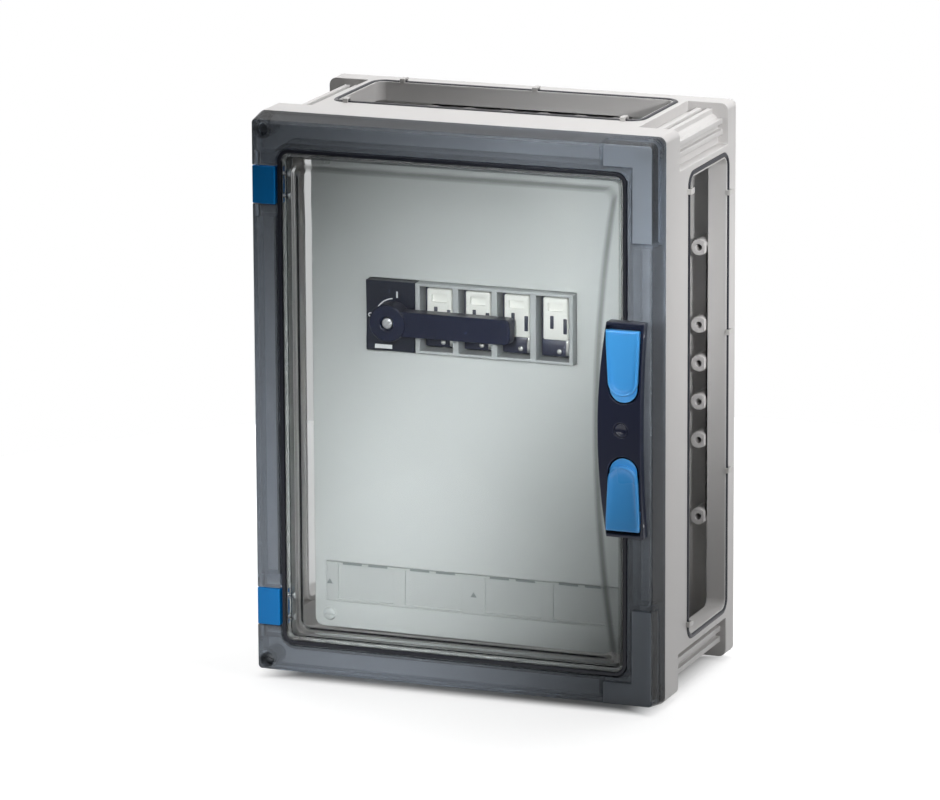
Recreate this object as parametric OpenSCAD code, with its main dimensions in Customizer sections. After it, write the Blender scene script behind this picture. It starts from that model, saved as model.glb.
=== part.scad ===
// Direct-current combiner box: a wall-mounted plastic enclosure with open side
// flanges, a see-through hinged door with two latches, and a fused rotary
// switch on a mounting rail behind an inner cover.
//
// Millimetres. The origin is the centre of the rear mounting face. +X is to
// the right, +Z is up, and the front looks along -Y, so a plane at a given
// depth in front of the wall lies at Y = -depth.

/* [Enclosure] */
// Width of the enclosure
box_w = 270; // [266:1:320]
// Height of the enclosure
box_h = 360; // [356:1:420]
// Depth of the grey housing, from the wall to the front frame
housing_d = 132; // [130:1:150]
// Depth of the tinted front frame
frame_d = 18; // [17.5:0.5:22]
// Radius of the enclosure's long corners
corner_r = 5; // [5:0.5:10]
// Thickness of the housing's side walls
wall_t = 3.5; // [2.5:0.1:4]
// Thickness of the housing's rear wall
rear_t = 4; // [3:0.1:5]
// How far the walls draw in between the corner feet and the rim
wall_recess = 7; // [5.5:0.1:8]
// Depth of the closed rim at the housing's front
rim_d = 25; // [18:1:28]
// Thickness of the flange that closes the rim towards the door
flange_t = 5.5; // [4:0.5:7]
// Depth of the corner feet
foot_d = 15; // [8:1:16]

/* [Wall openings] */
// Distance from the enclosure's end to an opening in a side wall
side_end_gap = 34; // [32:1:50]
// Distance from the enclosure's side to an opening in the top or bottom wall
top_end_gap = 35; // [33:1:50]
// Distance from the wall face to the rear edge of the openings
window_rear = 17; // [16:1:25]
// Distance from the rim to the front edge of the openings
window_front = 20; // [17:1:35]
// Corner radius of the openings
window_r = 6; // [4:0.5:9]
// Length of the collar round an opening, measured inwards
collar_l = 12.5; // [8:0.5:14]
// Thickness of the collar
collar_t = 3; // [2:0.5:4]
// Width of the gasket round an opening
gasket_w = 3; // [2:0.1:4]
// How far the gasket stands out of the wall
gasket_proud = 0.8; // [0.5:0.1:2]
// Spacing of the gasket clips
clip_pitch = 90; // [60:1:95]
// Width of a gasket clip along the gasket
clip_w = 3.2; // [2:0.1:5]
// How far a gasket clip stands off the wall
clip_h = 2.6; // [2.6:0.1:5]

/* [Rear posts and fixing holes] */
// Diameter of the fixing posts on the rear wall
post_dia = 10.6; // [8:0.1:12]
// Height of the posts in front of the wall face
post_d = 20; // [12:1:26]
// Bore of the posts
post_bore = 3.9; // [3:0.1:5]
// Grid on which the posts stand
post_grid = 25; // [20:1:26]
// Diameter of the wall fixing holes
fix_hole = 7; // [5:0.1:8]
// Distance from the enclosure's outline to the wall fixing holes
fix_inset = 15; // [15:0.5:17]

/* [Front frame] */
// How much the frame narrows towards the front, on each side
frame_draft = 2.8; // [1:0.1:3.5]
// Thickness of the frame's walls
frame_t = 3; // [2.5:0.1:3.5]
// Width of the frame beside the door
strip_w = 19.5; // [18.5:0.1:21]
// Height of the frame above and below the door
strip_h = 20.5; // [19.5:0.1:24]
// Thickness of the collar round the door opening
frame_collar_t = 2.5; // [1.5:0.1:3]
// Distance from the enclosure's side to a corner cap's short edge
cap_w = 35; // [32:0.5:50]
// Distance from the enclosure's end to a corner cap's long edge
cap_h = 64; // [40:1:80]
// Thickness of a corner cap
cap_t = 2.5; // [1.8:0.1:2.6]
// Shank diameter of the frame screws
frame_screw = 4.4; // [3.5:0.1:5]

/* [Door] */
// Gap between the door's seal and the frame
door_gap = 0.8; // [0.7:0.1:1.2]
// Width of the seal round the door
seal_w = 2.5; // [2:0.1:3]
// Outer corner radius of the door's seal
door_r = 8; // [6:0.5:12]
// Thickness of the door's pane
pane_t = 3; // [2:0.1:4]
// Height of the skirt behind the pane
skirt_d = 11; // [10.5:0.5:12]
// Thickness of the skirt
skirt_t = 2.5; // [2:0.1:3]
// How far the middle of the pane stands forward
plateau_rise = 3; // [1:0.1:4]
// Width of the flat edge left of the raised middle
plateau_left = 9; // [6:0.5:20]
// Width of the flat edge above and below the raised middle
plateau_ends = 7; // [5:0.5:20]
// Width of the flat edge right of the raised middle, at mid-height
plateau_waist = 16; // [14.5:0.5:30]
// Width of the flat edge right of the raised middle, at its ends
plateau_right = 3.5; // [3:0.5:12]

/* [Hinges] */
// Distance from the enclosure's end to the middle of a hinge
hinge_end_gap = 44; // [42:1:120]
// Height of a hinge leaf
leaf_h = 24; // [16:1:30]
// Thickness of a hinge leaf
leaf_t = 10; // [9:0.5:10]
// Diameter of the hinge pins
hinge_pin = 3; // [2.5:0.1:3.2]
// Distance from the frame's face to the hinge axis
hinge_axis_d = 3; // [2.8:0.1:3.4]
// Distance from the frame's side to the hinge axis
hinge_axis_x = 5.5; // [5:0.1:6]

/* [Handle plate and latches] */
// Height of the handle plate
plate_h = 136; // [130:1:170]
// Distance that the handle plate reaches over the frame
plate_over = 14.1; // [13.5:0.1:14.5]
// Width of the handle plate at mid-height
plate_w = 30.6; // [30.6:0.1:31.2]
// How much narrower the plate's left edge is at its ends
plate_bulge = 6; // [4:0.1:6.4]
// Thickness of the handle plate
plate_t = 6.8; // [6.5:0.1:9]
// Width of a latch paddle
paddle_w = 21.7; // [20.5:0.1:21.8]
// Length of a latch paddle from its pin to its tip
paddle_l = 43; // [30:0.5:45]
// Distance from the plate's end to a latch pin
latch_end = 8; // [7:0.1:9]
// Diameter of the latch pins
latch_pin = 2.5; // [2:0.1:2.6]
// Width of a latch claw
claw_w = 6; // [4:0.1:6.4]
// Diameter of the lock hole
lock_dia = 9; // [6:0.1:12]
// Wire diameter of the latch springs
spring_wire = 0.9; // [0.7:0.05:1]
// Turns of the latch springs
spring_turns = 4; // [2:1:4]

/* [Inner cover] */
// Depth of the inner cover's face in front of the wall
cover_d = 112; // [108:0.5:114]
// Thickness of the inner cover
cover_t = 2.5; // [2:0.1:3.5]
// Distance from the enclosure's sides to the inner cover
cover_side_gap = 27; // [26:0.5:30]
// Distance from the enclosure's ends to the inner cover
cover_end_gap = 23.5; // [23:0.5:30]
// Depth of the cover's skirt
cover_skirt = 11.5; // [5:0.5:20]
// Thickness of the cover's skirt
cover_skirt_t = 2; // [1.5:0.1:2.4]
// Diameter of the pillars behind the cover
pillar_dia = 12; // [10:0.5:12.5]
// Shank diameter of the cover, rail and bar screws
small_screw = 3.2; // [2.5:0.1:3.5]
// Height of the blanking strip
strip_panel_h = 26; // [25:0.5:34]
// Distance from the inner cover's sides to the blanking strip's opening
strip_side_gap = 8; // [6:0.5:10]
// Gap between the blanking strip's label frames
strip_window_gap = 8; // [4:0.5:10]
// Distance from the enclosure's lower end to the middle of the blanking strip
strip_end_gap = 54; // [48:1:90]

/* [Rail and switch] */
// Height of the mounting rail's centre
rail_z = 51; // [40:0.5:70]
// Length of the mounting rail
rail_l = 200; // [190:1:220]
// Depth of the rail's front face in front of the wall
rail_d = 50; // [48:0.5:54]
// Width of the switch
dev_w = 138; // [136:0.5:144]
// Height of the switch's body
dev_h = 90; // [88:0.5:100]
// Height of the switch's front that comes through the cover
nose_h = 45; // [44.5:0.5:52]
// How far the switch's front stands out of the cover
nose_proud = 6; // [4:0.1:7]
// Width of the switching mechanism
mech_w = 32.7; // [32:0.1:34]
// Distance from the mechanism to the first fuse bay
bay_side = 3.5; // [3:0.1:5]
// Thickness of the wall between two fuse bays
bay_wall = 4; // [3.5:0.1:5]
// Thickness of the wall after the last fuse bay
bay_end = 2.6; // [2.2:0.1:4]
// Number of fuses
poles = 4; // [4:1:4]
// Gap between a fuse and the side of its bay
fuse_side = 0.9; // [0.7:0.1:2.5]
// Height of a fuse body
fuse_h = 38; // [34:0.5:39]
// Thickness of a fuse blade
blade_t = 2; // [1.5:0.1:3]
// Distance from the switch's left edge to the handle's axis
knob_x = 19.3; // [17:0.1:20]
// Distance from the rail's centre down to the handle's axis
knob_drop = 1.7; // [0:0.1:4]
// Diameter of the handle's hub
hub_dia = 24; // [18:0.5:27]
// Length of the lever from the handle's axis
lever_l = 81.5; // [50:0.5:90]
// Height of the lever
lever_h = 16; // [10:0.5:18]
// Thickness of the lever
lever_t = 10; // [6:0.5:11]
// Diameter of the switch shaft
shaft_dia = 7; // [6:0.1:8]
// Number of contact decks
decks = 4; // [2:1:4]
// Depth of one contact deck
deck_d = 8; // [7:0.1:8.6]
// Length of the earth bar
earth_bar_l = 120; // [110:1:150]
// Number of clamps on the earth bar
earth_clamps = 7; // [3:1:7]

/* [Fits] */
// Radial clearance of a pin or shaft in its bore
run_fit = 0.05; // [0.03:0.01:0.09]
// Gap between pieces that pass or lie next to each other
gap = 0.3; // [0.25:0.05:0.4]

/* [Hidden] */

$fn = 48;
// A cut runs this far past the faces it opens
past = 1;

// Colours
light_grey = [0.78, 0.78, 0.78];
cover_grey = [0.72, 0.74, 0.74];
smoke = [0.29, 0.31, 0.35, 0.6];
clear_smoke = [0.6, 0.65, 0.67, 0.4];
seal_black = [0.05, 0.05, 0.07];
latch_blue = [0.2, 0.53, 0.8];
hinge_blue = [0.0, 0.43, 0.72];
navy = [0.08, 0.11, 0.2];
switch_black = [0.07, 0.08, 0.1];
ceramic = [0.93, 0.93, 0.9];
steel = [0.7, 0.71, 0.72];
silvered = [0.8, 0.8, 0.8];
copper = [0.72, 0.45, 0.2];
brass = [0.78, 0.65, 0.35];

// Enclosure
half_w = box_w / 2;
half_h = box_h / 2;
face_d = housing_d + frame_d;
rim_back = housing_d - rim_d;
wall_x = half_w - wall_recess;
wall_z = half_h - wall_recess;
inner_x = wall_x - wall_t;
inner_z = wall_z - wall_t;

// Wall openings: lengths, middle depth and height of the opening
side_win_l = box_h - 2 * side_end_gap;
top_win_l = box_w - 2 * top_end_gap;
win_h = rim_back - window_rear - window_front;
win_mid = window_rear + win_h / 2;
gasket_lip = 1;
gasket_seat = 1.5;
gasket_line = gasket_lip + gasket_w / 2;

// Full-width walls round the openings, and the ribs beyond their ends
flange_margin = 4;
pad_x = top_win_l / 2 + gasket_lip + gasket_w + flange_margin;
pad_z = side_win_l / 2 + gasket_lip + gasket_w + flange_margin;
rib_w = 3.5;
rib_first = 7.5;
rib_pitch = 7;
rib_h = wall_recess - 4;

// Rear posts and gasket clips
post_in = 7;
post_x = inner_x - post_in;
post_z = inner_z - post_in;
clip_end = 56.5;
clip_span = gasket_w + 4;

// Door opening, flange opening and door
open_x = half_w - strip_w + door_gap;
open_z = half_h - strip_h + door_gap;
door_x = half_w - strip_w - seal_w;
door_z = half_h - strip_h - seal_w;
pane_r = door_r - seal_w;
open_r = door_r + door_gap;
pane_back = face_d - pane_t;
skirt_back = pane_back - skirt_d;
flange_lip = 2.5;
flange_x = open_x - flange_lip;
flange_z = open_z - flange_lip;
rim_seal_w = 4;
rim_seal_seat = 1.5;
rim_seal_proud = 0.7;
rim_seal_x = open_x + frame_collar_t / 2;
rim_seal_z = open_z + frame_collar_t / 2;
frame_collar_back = housing_d + rim_seal_proud + gap;
door_seal_t = 4.5;
door_seal_front = face_d - 0.5;
door_seal_back = door_seal_front - door_seal_t;

// Frame screws and their bosses
screw_in = 9;
screw_x = half_w - screw_in;
screw_z = half_h - screw_in;
screw_boss = 12;
screw_head = 8;
screw_seat = face_d - 7.5;
screw_head_h = 3;
screw_tip = housing_d - 13;
cap_sink = frame_t - 0.1;
cap_skirt = 10;

// Hinges
hinge_z = half_h - hinge_end_gap;
hinge_x = -(half_w - hinge_axis_x);
hinge_d = face_d - hinge_axis_d;
leaf_left = -(half_w - frame_draft);
leaf_right = -(open_x + 0.7);
leaf_back = face_d - leaf_t;
leaf_arm_front = door_seal_back - 0.5;
notch_h = leaf_h + 0.8;
hinge_boss = 8;
hinge_sweep = norm([hinge_x - leaf_left, hinge_d - leaf_back]);
notch_floor = hinge_d - hinge_sweep - 0.6;
hinge_block_back = notch_floor - 4;
pin_l = notch_h + 2 * hinge_boss;
leaf_screw = 2.2;
leaf_screw_head = 4.5;
leaf_screw_head_h = 1.5;
leaf_screw_in = 8;
leaf_screw_off = leaf_h / 2 - 5;

// Handle plate and latches
plate_back = face_d + 0.4;
plate_front = face_d + plate_t + 0.4;
plate_right = half_w - strip_w + plate_over;
plate_left = plate_right - plate_w;
plate_bow_r = (pow(plate_h / 2, 2) + pow(plate_bulge, 2)) / (2 * plate_bulge);
plate_hollow = 2.5;
plate_hollow_r = (pow(plate_h / 2, 2) + pow(plate_hollow, 2)) / (2 * plate_hollow);
plate_floor = plate_back + 1.2;
latch_z = plate_h / 2 - latch_end;
latch_r = 3;
latch_d = plate_floor + gap + latch_r;
paddle_right = plate_right - 2.6;
paddle_left = paddle_right - paddle_w;
paddle_mid = (paddle_left + paddle_right) / 2;
paddle_front = latch_d + 5.1;
paddle_back = paddle_front - 3.7;
paddle_tail = 4;
pocket_end = 5.8;
claw_x = open_x + frame_collar_t + 0.6;
claw_back = face_d - frame_t - 3.7;
claw_nose = face_d - frame_t - gap;
claw_top = 0.8;
claw_bottom = 6;
nose_reach = 4.5;
slot_top = 1.5;
slot_bottom = 14;
slot_gap = 0.6;
spring_mean_r = latch_pin / 2 + 0.2 + spring_wire / 2;
spring_pitch = spring_wire + 0.15;
spring_x = paddle_left + 1.6;
spring_bay = (spring_turns + 1) * spring_pitch + spring_wire + 1;
spring_leg = 9;
lock_x = (plate_left + plate_right) / 2;
plate_screw = 3;
plate_screw_head = 6;
plate_screw_x = door_x - 6.5;
plate_screw_z = 30;

// Inner cover
cover_back = cover_d - cover_t;
cover_w = box_w - 2 * cover_side_gap;
cover_h = box_h - 2 * cover_end_gap;
pillar_x = cover_w / 2 - 10;
pillar_z = cover_h / 2 - 9;
cover_head = 9;
cover_head_h = 2;
strip_panel_w = cover_w - 2 * strip_side_gap;
strip_windows = 4;
strip_middle_gap = 2 * strip_window_gap;
strip_window_w = (strip_panel_w - strip_middle_gap - strip_windows * strip_window_gap) / strip_windows;
strip_window_h = strip_panel_h - 3.4;
strip_window_at = (strip_middle_gap + strip_window_w) / 2;
strip_window_pitch = strip_window_w + strip_window_gap;
strip_lip = 2;
strip_z = strip_end_gap - half_h;

// Rail and switch
rail_h = 35;
rail_depth = 7.5;
rail_sheet = 1;
rail_web = 27;
rail_back = rail_d - rail_depth;
boss_x = rail_l / 2 - 10;
boss_dia = 12;
dev_left = -dev_w / 2;
dev_right = dev_w / 2;
mech_right = dev_left + mech_w;
base_back = rail_d + gap;
base_front = 68;
shoulder_d = cover_back - 1.5;
nose_d = cover_d + nose_proud;
bay_left = mech_right + gap;
bay_w = (dev_w - mech_w - bay_side - bay_end - (poles - 1) * bay_wall) / poles;
pole_pitch = bay_w + bay_wall;
fuse_w = bay_w - 2 * fuse_side;
first_pole = mech_right + bay_side + bay_w / 2;
bay_h = nose_h - 4;
bus_t = 2;
bus_z0 = 22;
bus_z1 = 30;
strip_d = base_front + bus_t + 2;
lug_t = 2;
lug_w = 12;
lug_z0 = 20;
lug_z1 = dev_h / 2 - 3;
terminal_z = lug_z1 - 5;
terminal_h = 10;
terminal_d = 12;
terminal_back = strip_d + lug_t;
wire_hole = 6.5;
terminal_screw = 4;
fuse_back = 84;
fuse_front = nose_d - 4;
blade_h = 10;
blade_back = 90;
blade_front = 105;
jaw_leaf = 1.5;
jaw_z0 = fuse_h / 2 + 1.5;
jaw_z1 = fuse_h / 2 + blade_h;
jaw_front = blade_front - 1;
knob_at_x = dev_left + knob_x;
knob_z = rail_z - knob_drop;
hub_back = nose_d + 0.6;
lever_back = hub_back + 2.4;
lever_front = lever_back + lever_t;
hub_front = lever_front + 1;
shaft_back = base_front + 1;
shaft_front = hub_back + 5.4;
knob_screw = 4;
knob_screw_head = 8;
knob_head_h = 2.2;
knob_seat = hub_front - knob_head_h - 0.3;
mech_wall = 2.5;
deck_w = 2 * (min(knob_x, mech_w - knob_x) - mech_wall) - 0.6;
deck_h = 34;
deck_bore = deck_w - 4.4;
deck_floor = 1.5;
rotor_r = deck_bore / 2 - 0.8;
rotor_t = 2.5;
rotor_w = 5;
fixed_in = rotor_r + 0.4;
fixed_w = 4;
deck_start = base_front + gap;
earth_w = 10;
earth_t = 7;
earth_back = 40;
earth_boss_x = 50;
earth_pitch = 12;
earth_wire = 4.5;

// ---- Helpers ----

// A plate parallel to the wall, between two depths
module slab(from, to) {
    rotate([90, 0, 0]) translate([0, 0, from]) linear_extrude(to - from) children();
}

// A prism along X whose section is drawn as depth against height
module along_x(from, to) {
    translate([from, 0, 0]) rotate([90, 0, 90]) linear_extrude(to - from) mirror([1, 0]) children();
}

// A prism along Z whose section is drawn as X against depth
module along_z(from, to) {
    translate([0, 0, from]) linear_extrude(to - from) mirror([0, 1]) children();
}

// A rectangle between two corners
module rect(x0, y0, x1, y1) {
    translate([x0, y0]) square([x1 - x0, y1 - y0]);
}

// A centred rectangle with round corners
module rrect(w, h, r) {
    square([w - 2 * r, h], center = true);
    square([w, h - 2 * r], center = true);
    for (sx = [-1, 1], sy = [-1, 1])
        translate([sx * (w / 2 - r), sy * (h / 2 - r)]) circle(r);
}

// A ring round a centred rectangle of the given half sizes
module ring(x_in, z_in, r_in, w) {
    difference() {
        rrect(2 * (x_in + w), 2 * (z_in + w), r_in + w);
        rrect(2 * x_in, 2 * z_in, r_in);
    }
}

// A box between two depths
module block(x0, z0, x1, z1, from, to) {
    slab(from, to) rect(x0, z0, x1, z1);
}

// A round bar along Y, between two depths
module rod(x, z, dia, from, to) {
    translate([x, -from, z]) rotate([90, 0, 0]) cylinder(h = to - from, d = dia);
}

// A round bar along X
module rod_x(depth, z, dia, from, to) {
    translate([from, -depth, z]) rotate([0, 90, 0]) cylinder(h = to - from, d = dia);
}

// A round bar along Z
module rod_z(x, depth, dia, from, to) {
    translate([x, -depth, from]) cylinder(h = to - from, d = dia);
}

// The children at the four corners of a centred rectangle
module at_corners(x, z) {
    for (sx = [-1, 1], sz = [-1, 1]) translate([sx * x, 0, sz * z]) children();
}

// The children and their mirror image at the other end
module both_ends() {
    children();
    mirror([0, 0, 1]) children();
}

// The children and their mirror image on the other side
module both_sides() {
    children();
    mirror([1, 0, 0]) children();
}

// The frame's outer form, drawn in by an inset, from the seam to a depth
module drafted(inset, front) {
    w = half_w - inset;
    h = half_h - inset;
    r = corner_r - min(inset, corner_r - frame_draft - 1.5);
    back = housing_d;
    narrow = frame_draft * (front - back) / frame_d;
    at_corners(w - r, h - r) rotate([90, 0, 0]) translate([0, 0, back])
        cylinder(h = front - back, r1 = r, r2 = r - narrow);
    along_z(-(h - r), h - r)
        polygon([[-w, back], [w, back], [w - narrow, front], [narrow - w, front]]);
    along_x(-(w - r), w - r)
        polygon([[back, -h], [back, h], [front, h - narrow], [front, narrow - h]]);
}

// A closed tube of a given radius along a list of points that never run along X
function unit(v) = v / norm(v);
function tube_ring(p, t, r, sides) =
    let (n = unit(cross(t, [1, 0, 0])), b = cross(t, n))
    [for (k = [0:sides - 1]) p + r * (cos(360 * k / sides) * n + sin(360 * k / sides) * b)];
module tube(path, r, sides = 6) {
    last = len(path) - 1;
    rings = [for (i = [0:last])
        tube_ring(path[i], unit(path[min(i + 1, last)] - path[max(i - 1, 0)]), r, sides)];
    sides_faces = [for (i = [0:last - 1], k = [0:sides - 1], half = [0, 1])
        let (a = i * sides + k, b = i * sides + (k + 1) % sides)
        half == 0 ? [a, a + sides, b] : [b, a + sides, b + sides]];
    start_faces = [for (k = [1:sides - 2]) [0, k, k + 1]];
    end_faces = [for (k = [1:sides - 2]) last * sides * [1, 1, 1] + [0, k + 1, k]];
    polyhedron([for (one = rings) each one], concat(sides_faces, start_faces, end_faces));
}

// ---- Housing and its wall seals ----

// Section of a side wall's opening, grown by a margin
module side_window(grow) {
    translate([win_mid, 0]) rrect(win_h + 2 * grow, side_win_l + 2 * grow, window_r + grow);
}

// Section of the top and bottom walls' opening, grown by a margin
module top_window(grow) {
    translate([0, win_mid]) rrect(top_win_l + 2 * grow, win_h + 2 * grow, window_r + grow);
}

module wall_collars() {
    both_sides() along_x(half_w - collar_l, half_w) side_window(collar_t);
    both_ends() along_z(half_h - collar_l, half_h) top_window(collar_t);
}

module wall_cuts() {
    both_sides() {
        along_x(half_w - collar_l - past, half_w + past) side_window(0);
        along_x(half_w - gasket_seat, half_w + past) side_gasket();
    }
    both_ends() {
        along_z(half_h - collar_l - past, half_h + past) top_window(0);
        along_z(half_h - gasket_seat, half_h + past) top_gasket();
    }
}

module side_gasket() {
    difference() {
        side_window(gasket_lip + gasket_w);
        side_window(gasket_lip);
    }
}

module top_gasket() {
    difference() {
        top_window(gasket_lip + gasket_w);
        top_window(gasket_lip);
    }
}

// Ribs that stiffen the drawn-in corners
module wall_ribs() {
    for (k = [0:1]) {
        side_at = pad_z + rib_first + k * rib_pitch;
        top_at = pad_x + rib_first + k * rib_pitch;
        both_sides() both_ends()
            block(wall_x - past, side_at - rib_w / 2, wall_x + rib_h, side_at + rib_w / 2,
                foot_d, rim_back);
        both_sides() both_ends()
            block(top_at - rib_w / 2, wall_z - past, top_at + rib_w / 2, wall_z + rib_h,
                foot_d, rim_back);
    }
}

module rear_posts(dia, from, to) {
    both_sides() both_ends() for (k = [0.5, 1.5, 3.5])
        rod(post_x, k * post_grid, dia, from, to);
    both_sides() both_ends() for (k = [0.5, 1.5, 2.5])
        rod(k * post_grid, post_z, dia, from, to);
}

module post_gussets() {
    both_sides() both_ends() for (k = [0.5, 1.5, 3.5])
        block(post_x, k * post_grid - 1.2, half_w - wall_t + past, k * post_grid + 1.2,
            rear_t - past, post_d - 4);
    both_sides() both_ends() for (k = [0.5, 1.5, 2.5])
        block(k * post_grid - 1.2, post_z, k * post_grid + 1.2, half_h - wall_t + past,
            rear_t - past, post_d - 4);
}

// Outline of the upper right corner where the walls draw in
module corner_recess() {
    difference() {
        rect(pad_x, pad_z, half_w + past, half_h + past);
        rrect(2 * wall_x, 2 * wall_z, corner_r);
    }
}

module housing_shell() {
    difference() {
        slab(0, housing_d) rrect(box_w, box_h, corner_r);
        both_sides() both_ends() slab(foot_d, rim_back) corner_recess();
        slab(rear_t, housing_d - flange_t) {
            rrect(2 * inner_x, 2 * inner_z, corner_r - 3);
            square([box_w - 2 * wall_t, 2 * (pad_z - wall_t)], center = true);
            square([2 * (pad_x - wall_t), box_h - 2 * wall_t], center = true);
        }
        slab(rim_back + wall_t, housing_d - flange_t)
            rrect(box_w - 2 * wall_t, box_h - 2 * wall_t, corner_r - 2);
        slab(housing_d - flange_t - past, housing_d + past)
            rrect(2 * flange_x, 2 * flange_z, pane_r);
    }
    wall_ribs();
}

module housing() {
    color(light_grey) difference() {
        union() {
            housing_shell();
            wall_collars();
            rear_posts(post_dia, rear_t - past, post_d);
            post_gussets();
            at_corners(pillar_x, pillar_z) rod(0, 0, pillar_dia, rear_t - past, cover_back);
            both_sides() rod(boss_x, rail_z, boss_dia, rear_t - past, rail_back);
            both_sides() rod(earth_boss_x, strip_z, boss_dia - 2, rear_t - past, earth_back);
            at_corners(screw_x, screw_z)
                rod(0, 0, screw_boss, rim_back + wall_t - past, housing_d - flange_t + past);
        }
        wall_cuts();
        rear_posts(post_bore, rear_t + 1, post_d + past);
        at_corners(pillar_x, pillar_z)
            rod(0, 0, small_screw + 2 * run_fit, cover_back - 18, cover_back + past);
        both_sides() rod(boss_x, rail_z, small_screw + 2 * run_fit, rail_back - 15, rail_back + past);
        both_sides()
            rod(earth_boss_x, strip_z, small_screw + 2 * run_fit, earth_back - 15, earth_back + past);
        at_corners(screw_x, screw_z)
            rod(0, 0, frame_screw + 2 * run_fit, screw_tip - 1, housing_d + past);
        at_corners(half_w - fix_inset, half_h - fix_inset)
            rod(0, 0, fix_hole, -past, rear_t + past);
        slab(housing_d - rim_seal_seat, housing_d + past)
            ring(rim_seal_x - rim_seal_w / 2, rim_seal_z - rim_seal_w / 2, open_r - 1, rim_seal_w);
    }
}

module side_seal() {
    color(seal_black) along_x(half_w - gasket_seat, half_w + gasket_proud) side_gasket();
}

module end_seal() {
    color(seal_black) along_z(half_h - gasket_seat, half_h + gasket_proud) top_gasket();
}

module wall_seal_top() end_seal();
module wall_seal_bottom() mirror([0, 0, 1]) end_seal();
module wall_seal_right() side_seal();
module wall_seal_left() mirror([1, 0, 0]) side_seal();

// One clip that bridges a gasket running along Z on a side wall
module side_clip(depth, z) {
    translate([0, 0, z - clip_w / 2]) along_z(0, clip_w) difference() {
        rect(half_w, depth - clip_span / 2, half_w + clip_h, depth + clip_span / 2);
        rect(half_w - past, depth - gasket_w / 2 - gap, half_w + gasket_proud + gap,
            depth + gasket_w / 2 + gap);
    }
}

// One clip that bridges a gasket running along X on the top or bottom wall
module end_clip(depth, x) {
    translate([x - clip_w / 2, 0, 0]) along_x(0, clip_w) difference() {
        rect(depth - clip_span / 2, half_h, depth + clip_span / 2, half_h + clip_h);
        rect(depth - gasket_w / 2 - gap, half_h - past, depth + gasket_w / 2 + gap,
            half_h + gasket_proud + gap);
    }
}

module seal_clips() {
    rear_line = window_rear - gasket_line;
    front_line = window_rear + win_h + gasket_line;
    side_first = half_h - clip_end;
    top_first = half_w - clip_end + 5;
    side_corner = side_win_l / 2 - window_r - clip_w / 2;
    top_corner = top_win_l / 2 - window_r - clip_w / 2;
    color(light_grey) {
        both_sides() for (z = [side_first:-clip_pitch:-side_corner]) side_clip(rear_line, z);
        both_sides() both_ends() side_clip(front_line, side_corner);
        both_ends() for (x = [-top_first:clip_pitch:top_corner]) end_clip(rear_line, x);
        both_ends() both_sides() end_clip(front_line, top_corner);
    }
}

module rim_seal() {
    color(seal_black) slab(housing_d - rim_seal_seat, housing_d + rim_seal_proud)
        ring(rim_seal_x - rim_seal_w / 2, rim_seal_z - rim_seal_w / 2, open_r - 1, rim_seal_w);
}

// ---- Front frame ----

// Outline of the upper right corner cap, grown by a margin
module cap_outline(grow) {
    x0 = half_w - cap_w - grow;
    z0 = half_h - cap_h - grow;
    x_in = open_x + frame_collar_t + 0.2 - grow;
    z_in = open_z + frame_collar_t + 0.2 - grow;
    rect(x0, z_in, half_w + past, half_h + past);
    rect(x_in, z0, half_w + past, half_h + past);
}

// The solid ground under a corner cap, hollow from behind
module cap_ground() {
    difference() {
        intersection() {
            drafted(0, face_d);
            slab(frame_collar_back, face_d) cap_outline(frame_t);
        }
        intersection() {
            drafted(frame_t + cap_sink, face_d - 2 * frame_t);
            slab(housing_d, face_d) cap_outline(-frame_t);
        }
    }
}

module cap_cut() {
    difference() {
        slab(face_d - cap_skirt - gap, face_d + past) cap_outline(gap);
        drafted(cap_sink, face_d - cap_sink);
    }
}

module hinge_block() {
    intersection() {
        drafted(0, face_d);
        block(-half_w, hinge_z - pin_l / 2, -open_x, hinge_z + pin_l / 2,
            hinge_block_back, face_d);
    }
}

module claw_slot(from, to) {
    block(claw_x - slot_gap, latch_z - slot_bottom, claw_x + claw_w + slot_gap,
        latch_z + slot_top, from, to);
}

module front_frame() {
    color(smoke) difference() {
        union() {
            difference() {
                drafted(0, face_d);
                drafted(frame_t, face_d - frame_t);
                slab(housing_d - past, face_d + past) rrect(2 * open_x, 2 * open_z, open_r);
            }
            slab(frame_collar_back, face_d - frame_t) ring(open_x, open_z, open_r, frame_collar_t);
            both_ends() cap_ground();
            both_ends() hinge_block();
            at_corners(screw_x, screw_z) rod(0, 0, screw_boss, housing_d, face_d - frame_t);
        }
        both_ends() cap_cut();
        at_corners(screw_x, screw_z) {
            rod(0, 0, frame_screw + 2 * run_fit, housing_d - past, screw_seat + past);
            rod(0, 0, screw_head + 1, screw_seat, face_d + past);
        }
        both_ends() block(-half_w - past, hinge_z - notch_h / 2, -open_x + past,
            hinge_z + notch_h / 2, notch_floor, face_d + past);
        both_ends() rod_z(hinge_x, hinge_d, hinge_pin + 2 * run_fit,
            hinge_z - pin_l / 2 - past, hinge_z + pin_l / 2 + past);
        both_ends() claw_slot(face_d - frame_t - past, face_d + past);
    }
}

module frame_screws() {
    color(steel) at_corners(screw_x, screw_z) difference() {
        union() {
            rod(0, 0, frame_screw, screw_tip, screw_seat);
            rod(0, 0, screw_head, screw_seat, screw_seat + screw_head_h);
        }
        block(-screw_head, -0.6, screw_head, 0.6, screw_seat + screw_head_h - 1.2,
            screw_seat + screw_head_h + past);
    }
}

module corner_cap() {
    color(smoke) difference() {
        intersection() {
            drafted(0, face_d);
            slab(face_d - cap_skirt, face_d) cap_outline(0);
        }
        drafted(cap_t, face_d - cap_t);
    }
}

module corner_cap_upper() corner_cap();
module corner_cap_lower() mirror([0, 0, 1]) corner_cap();

// ---- Door, hinges and handle plate ----

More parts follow.
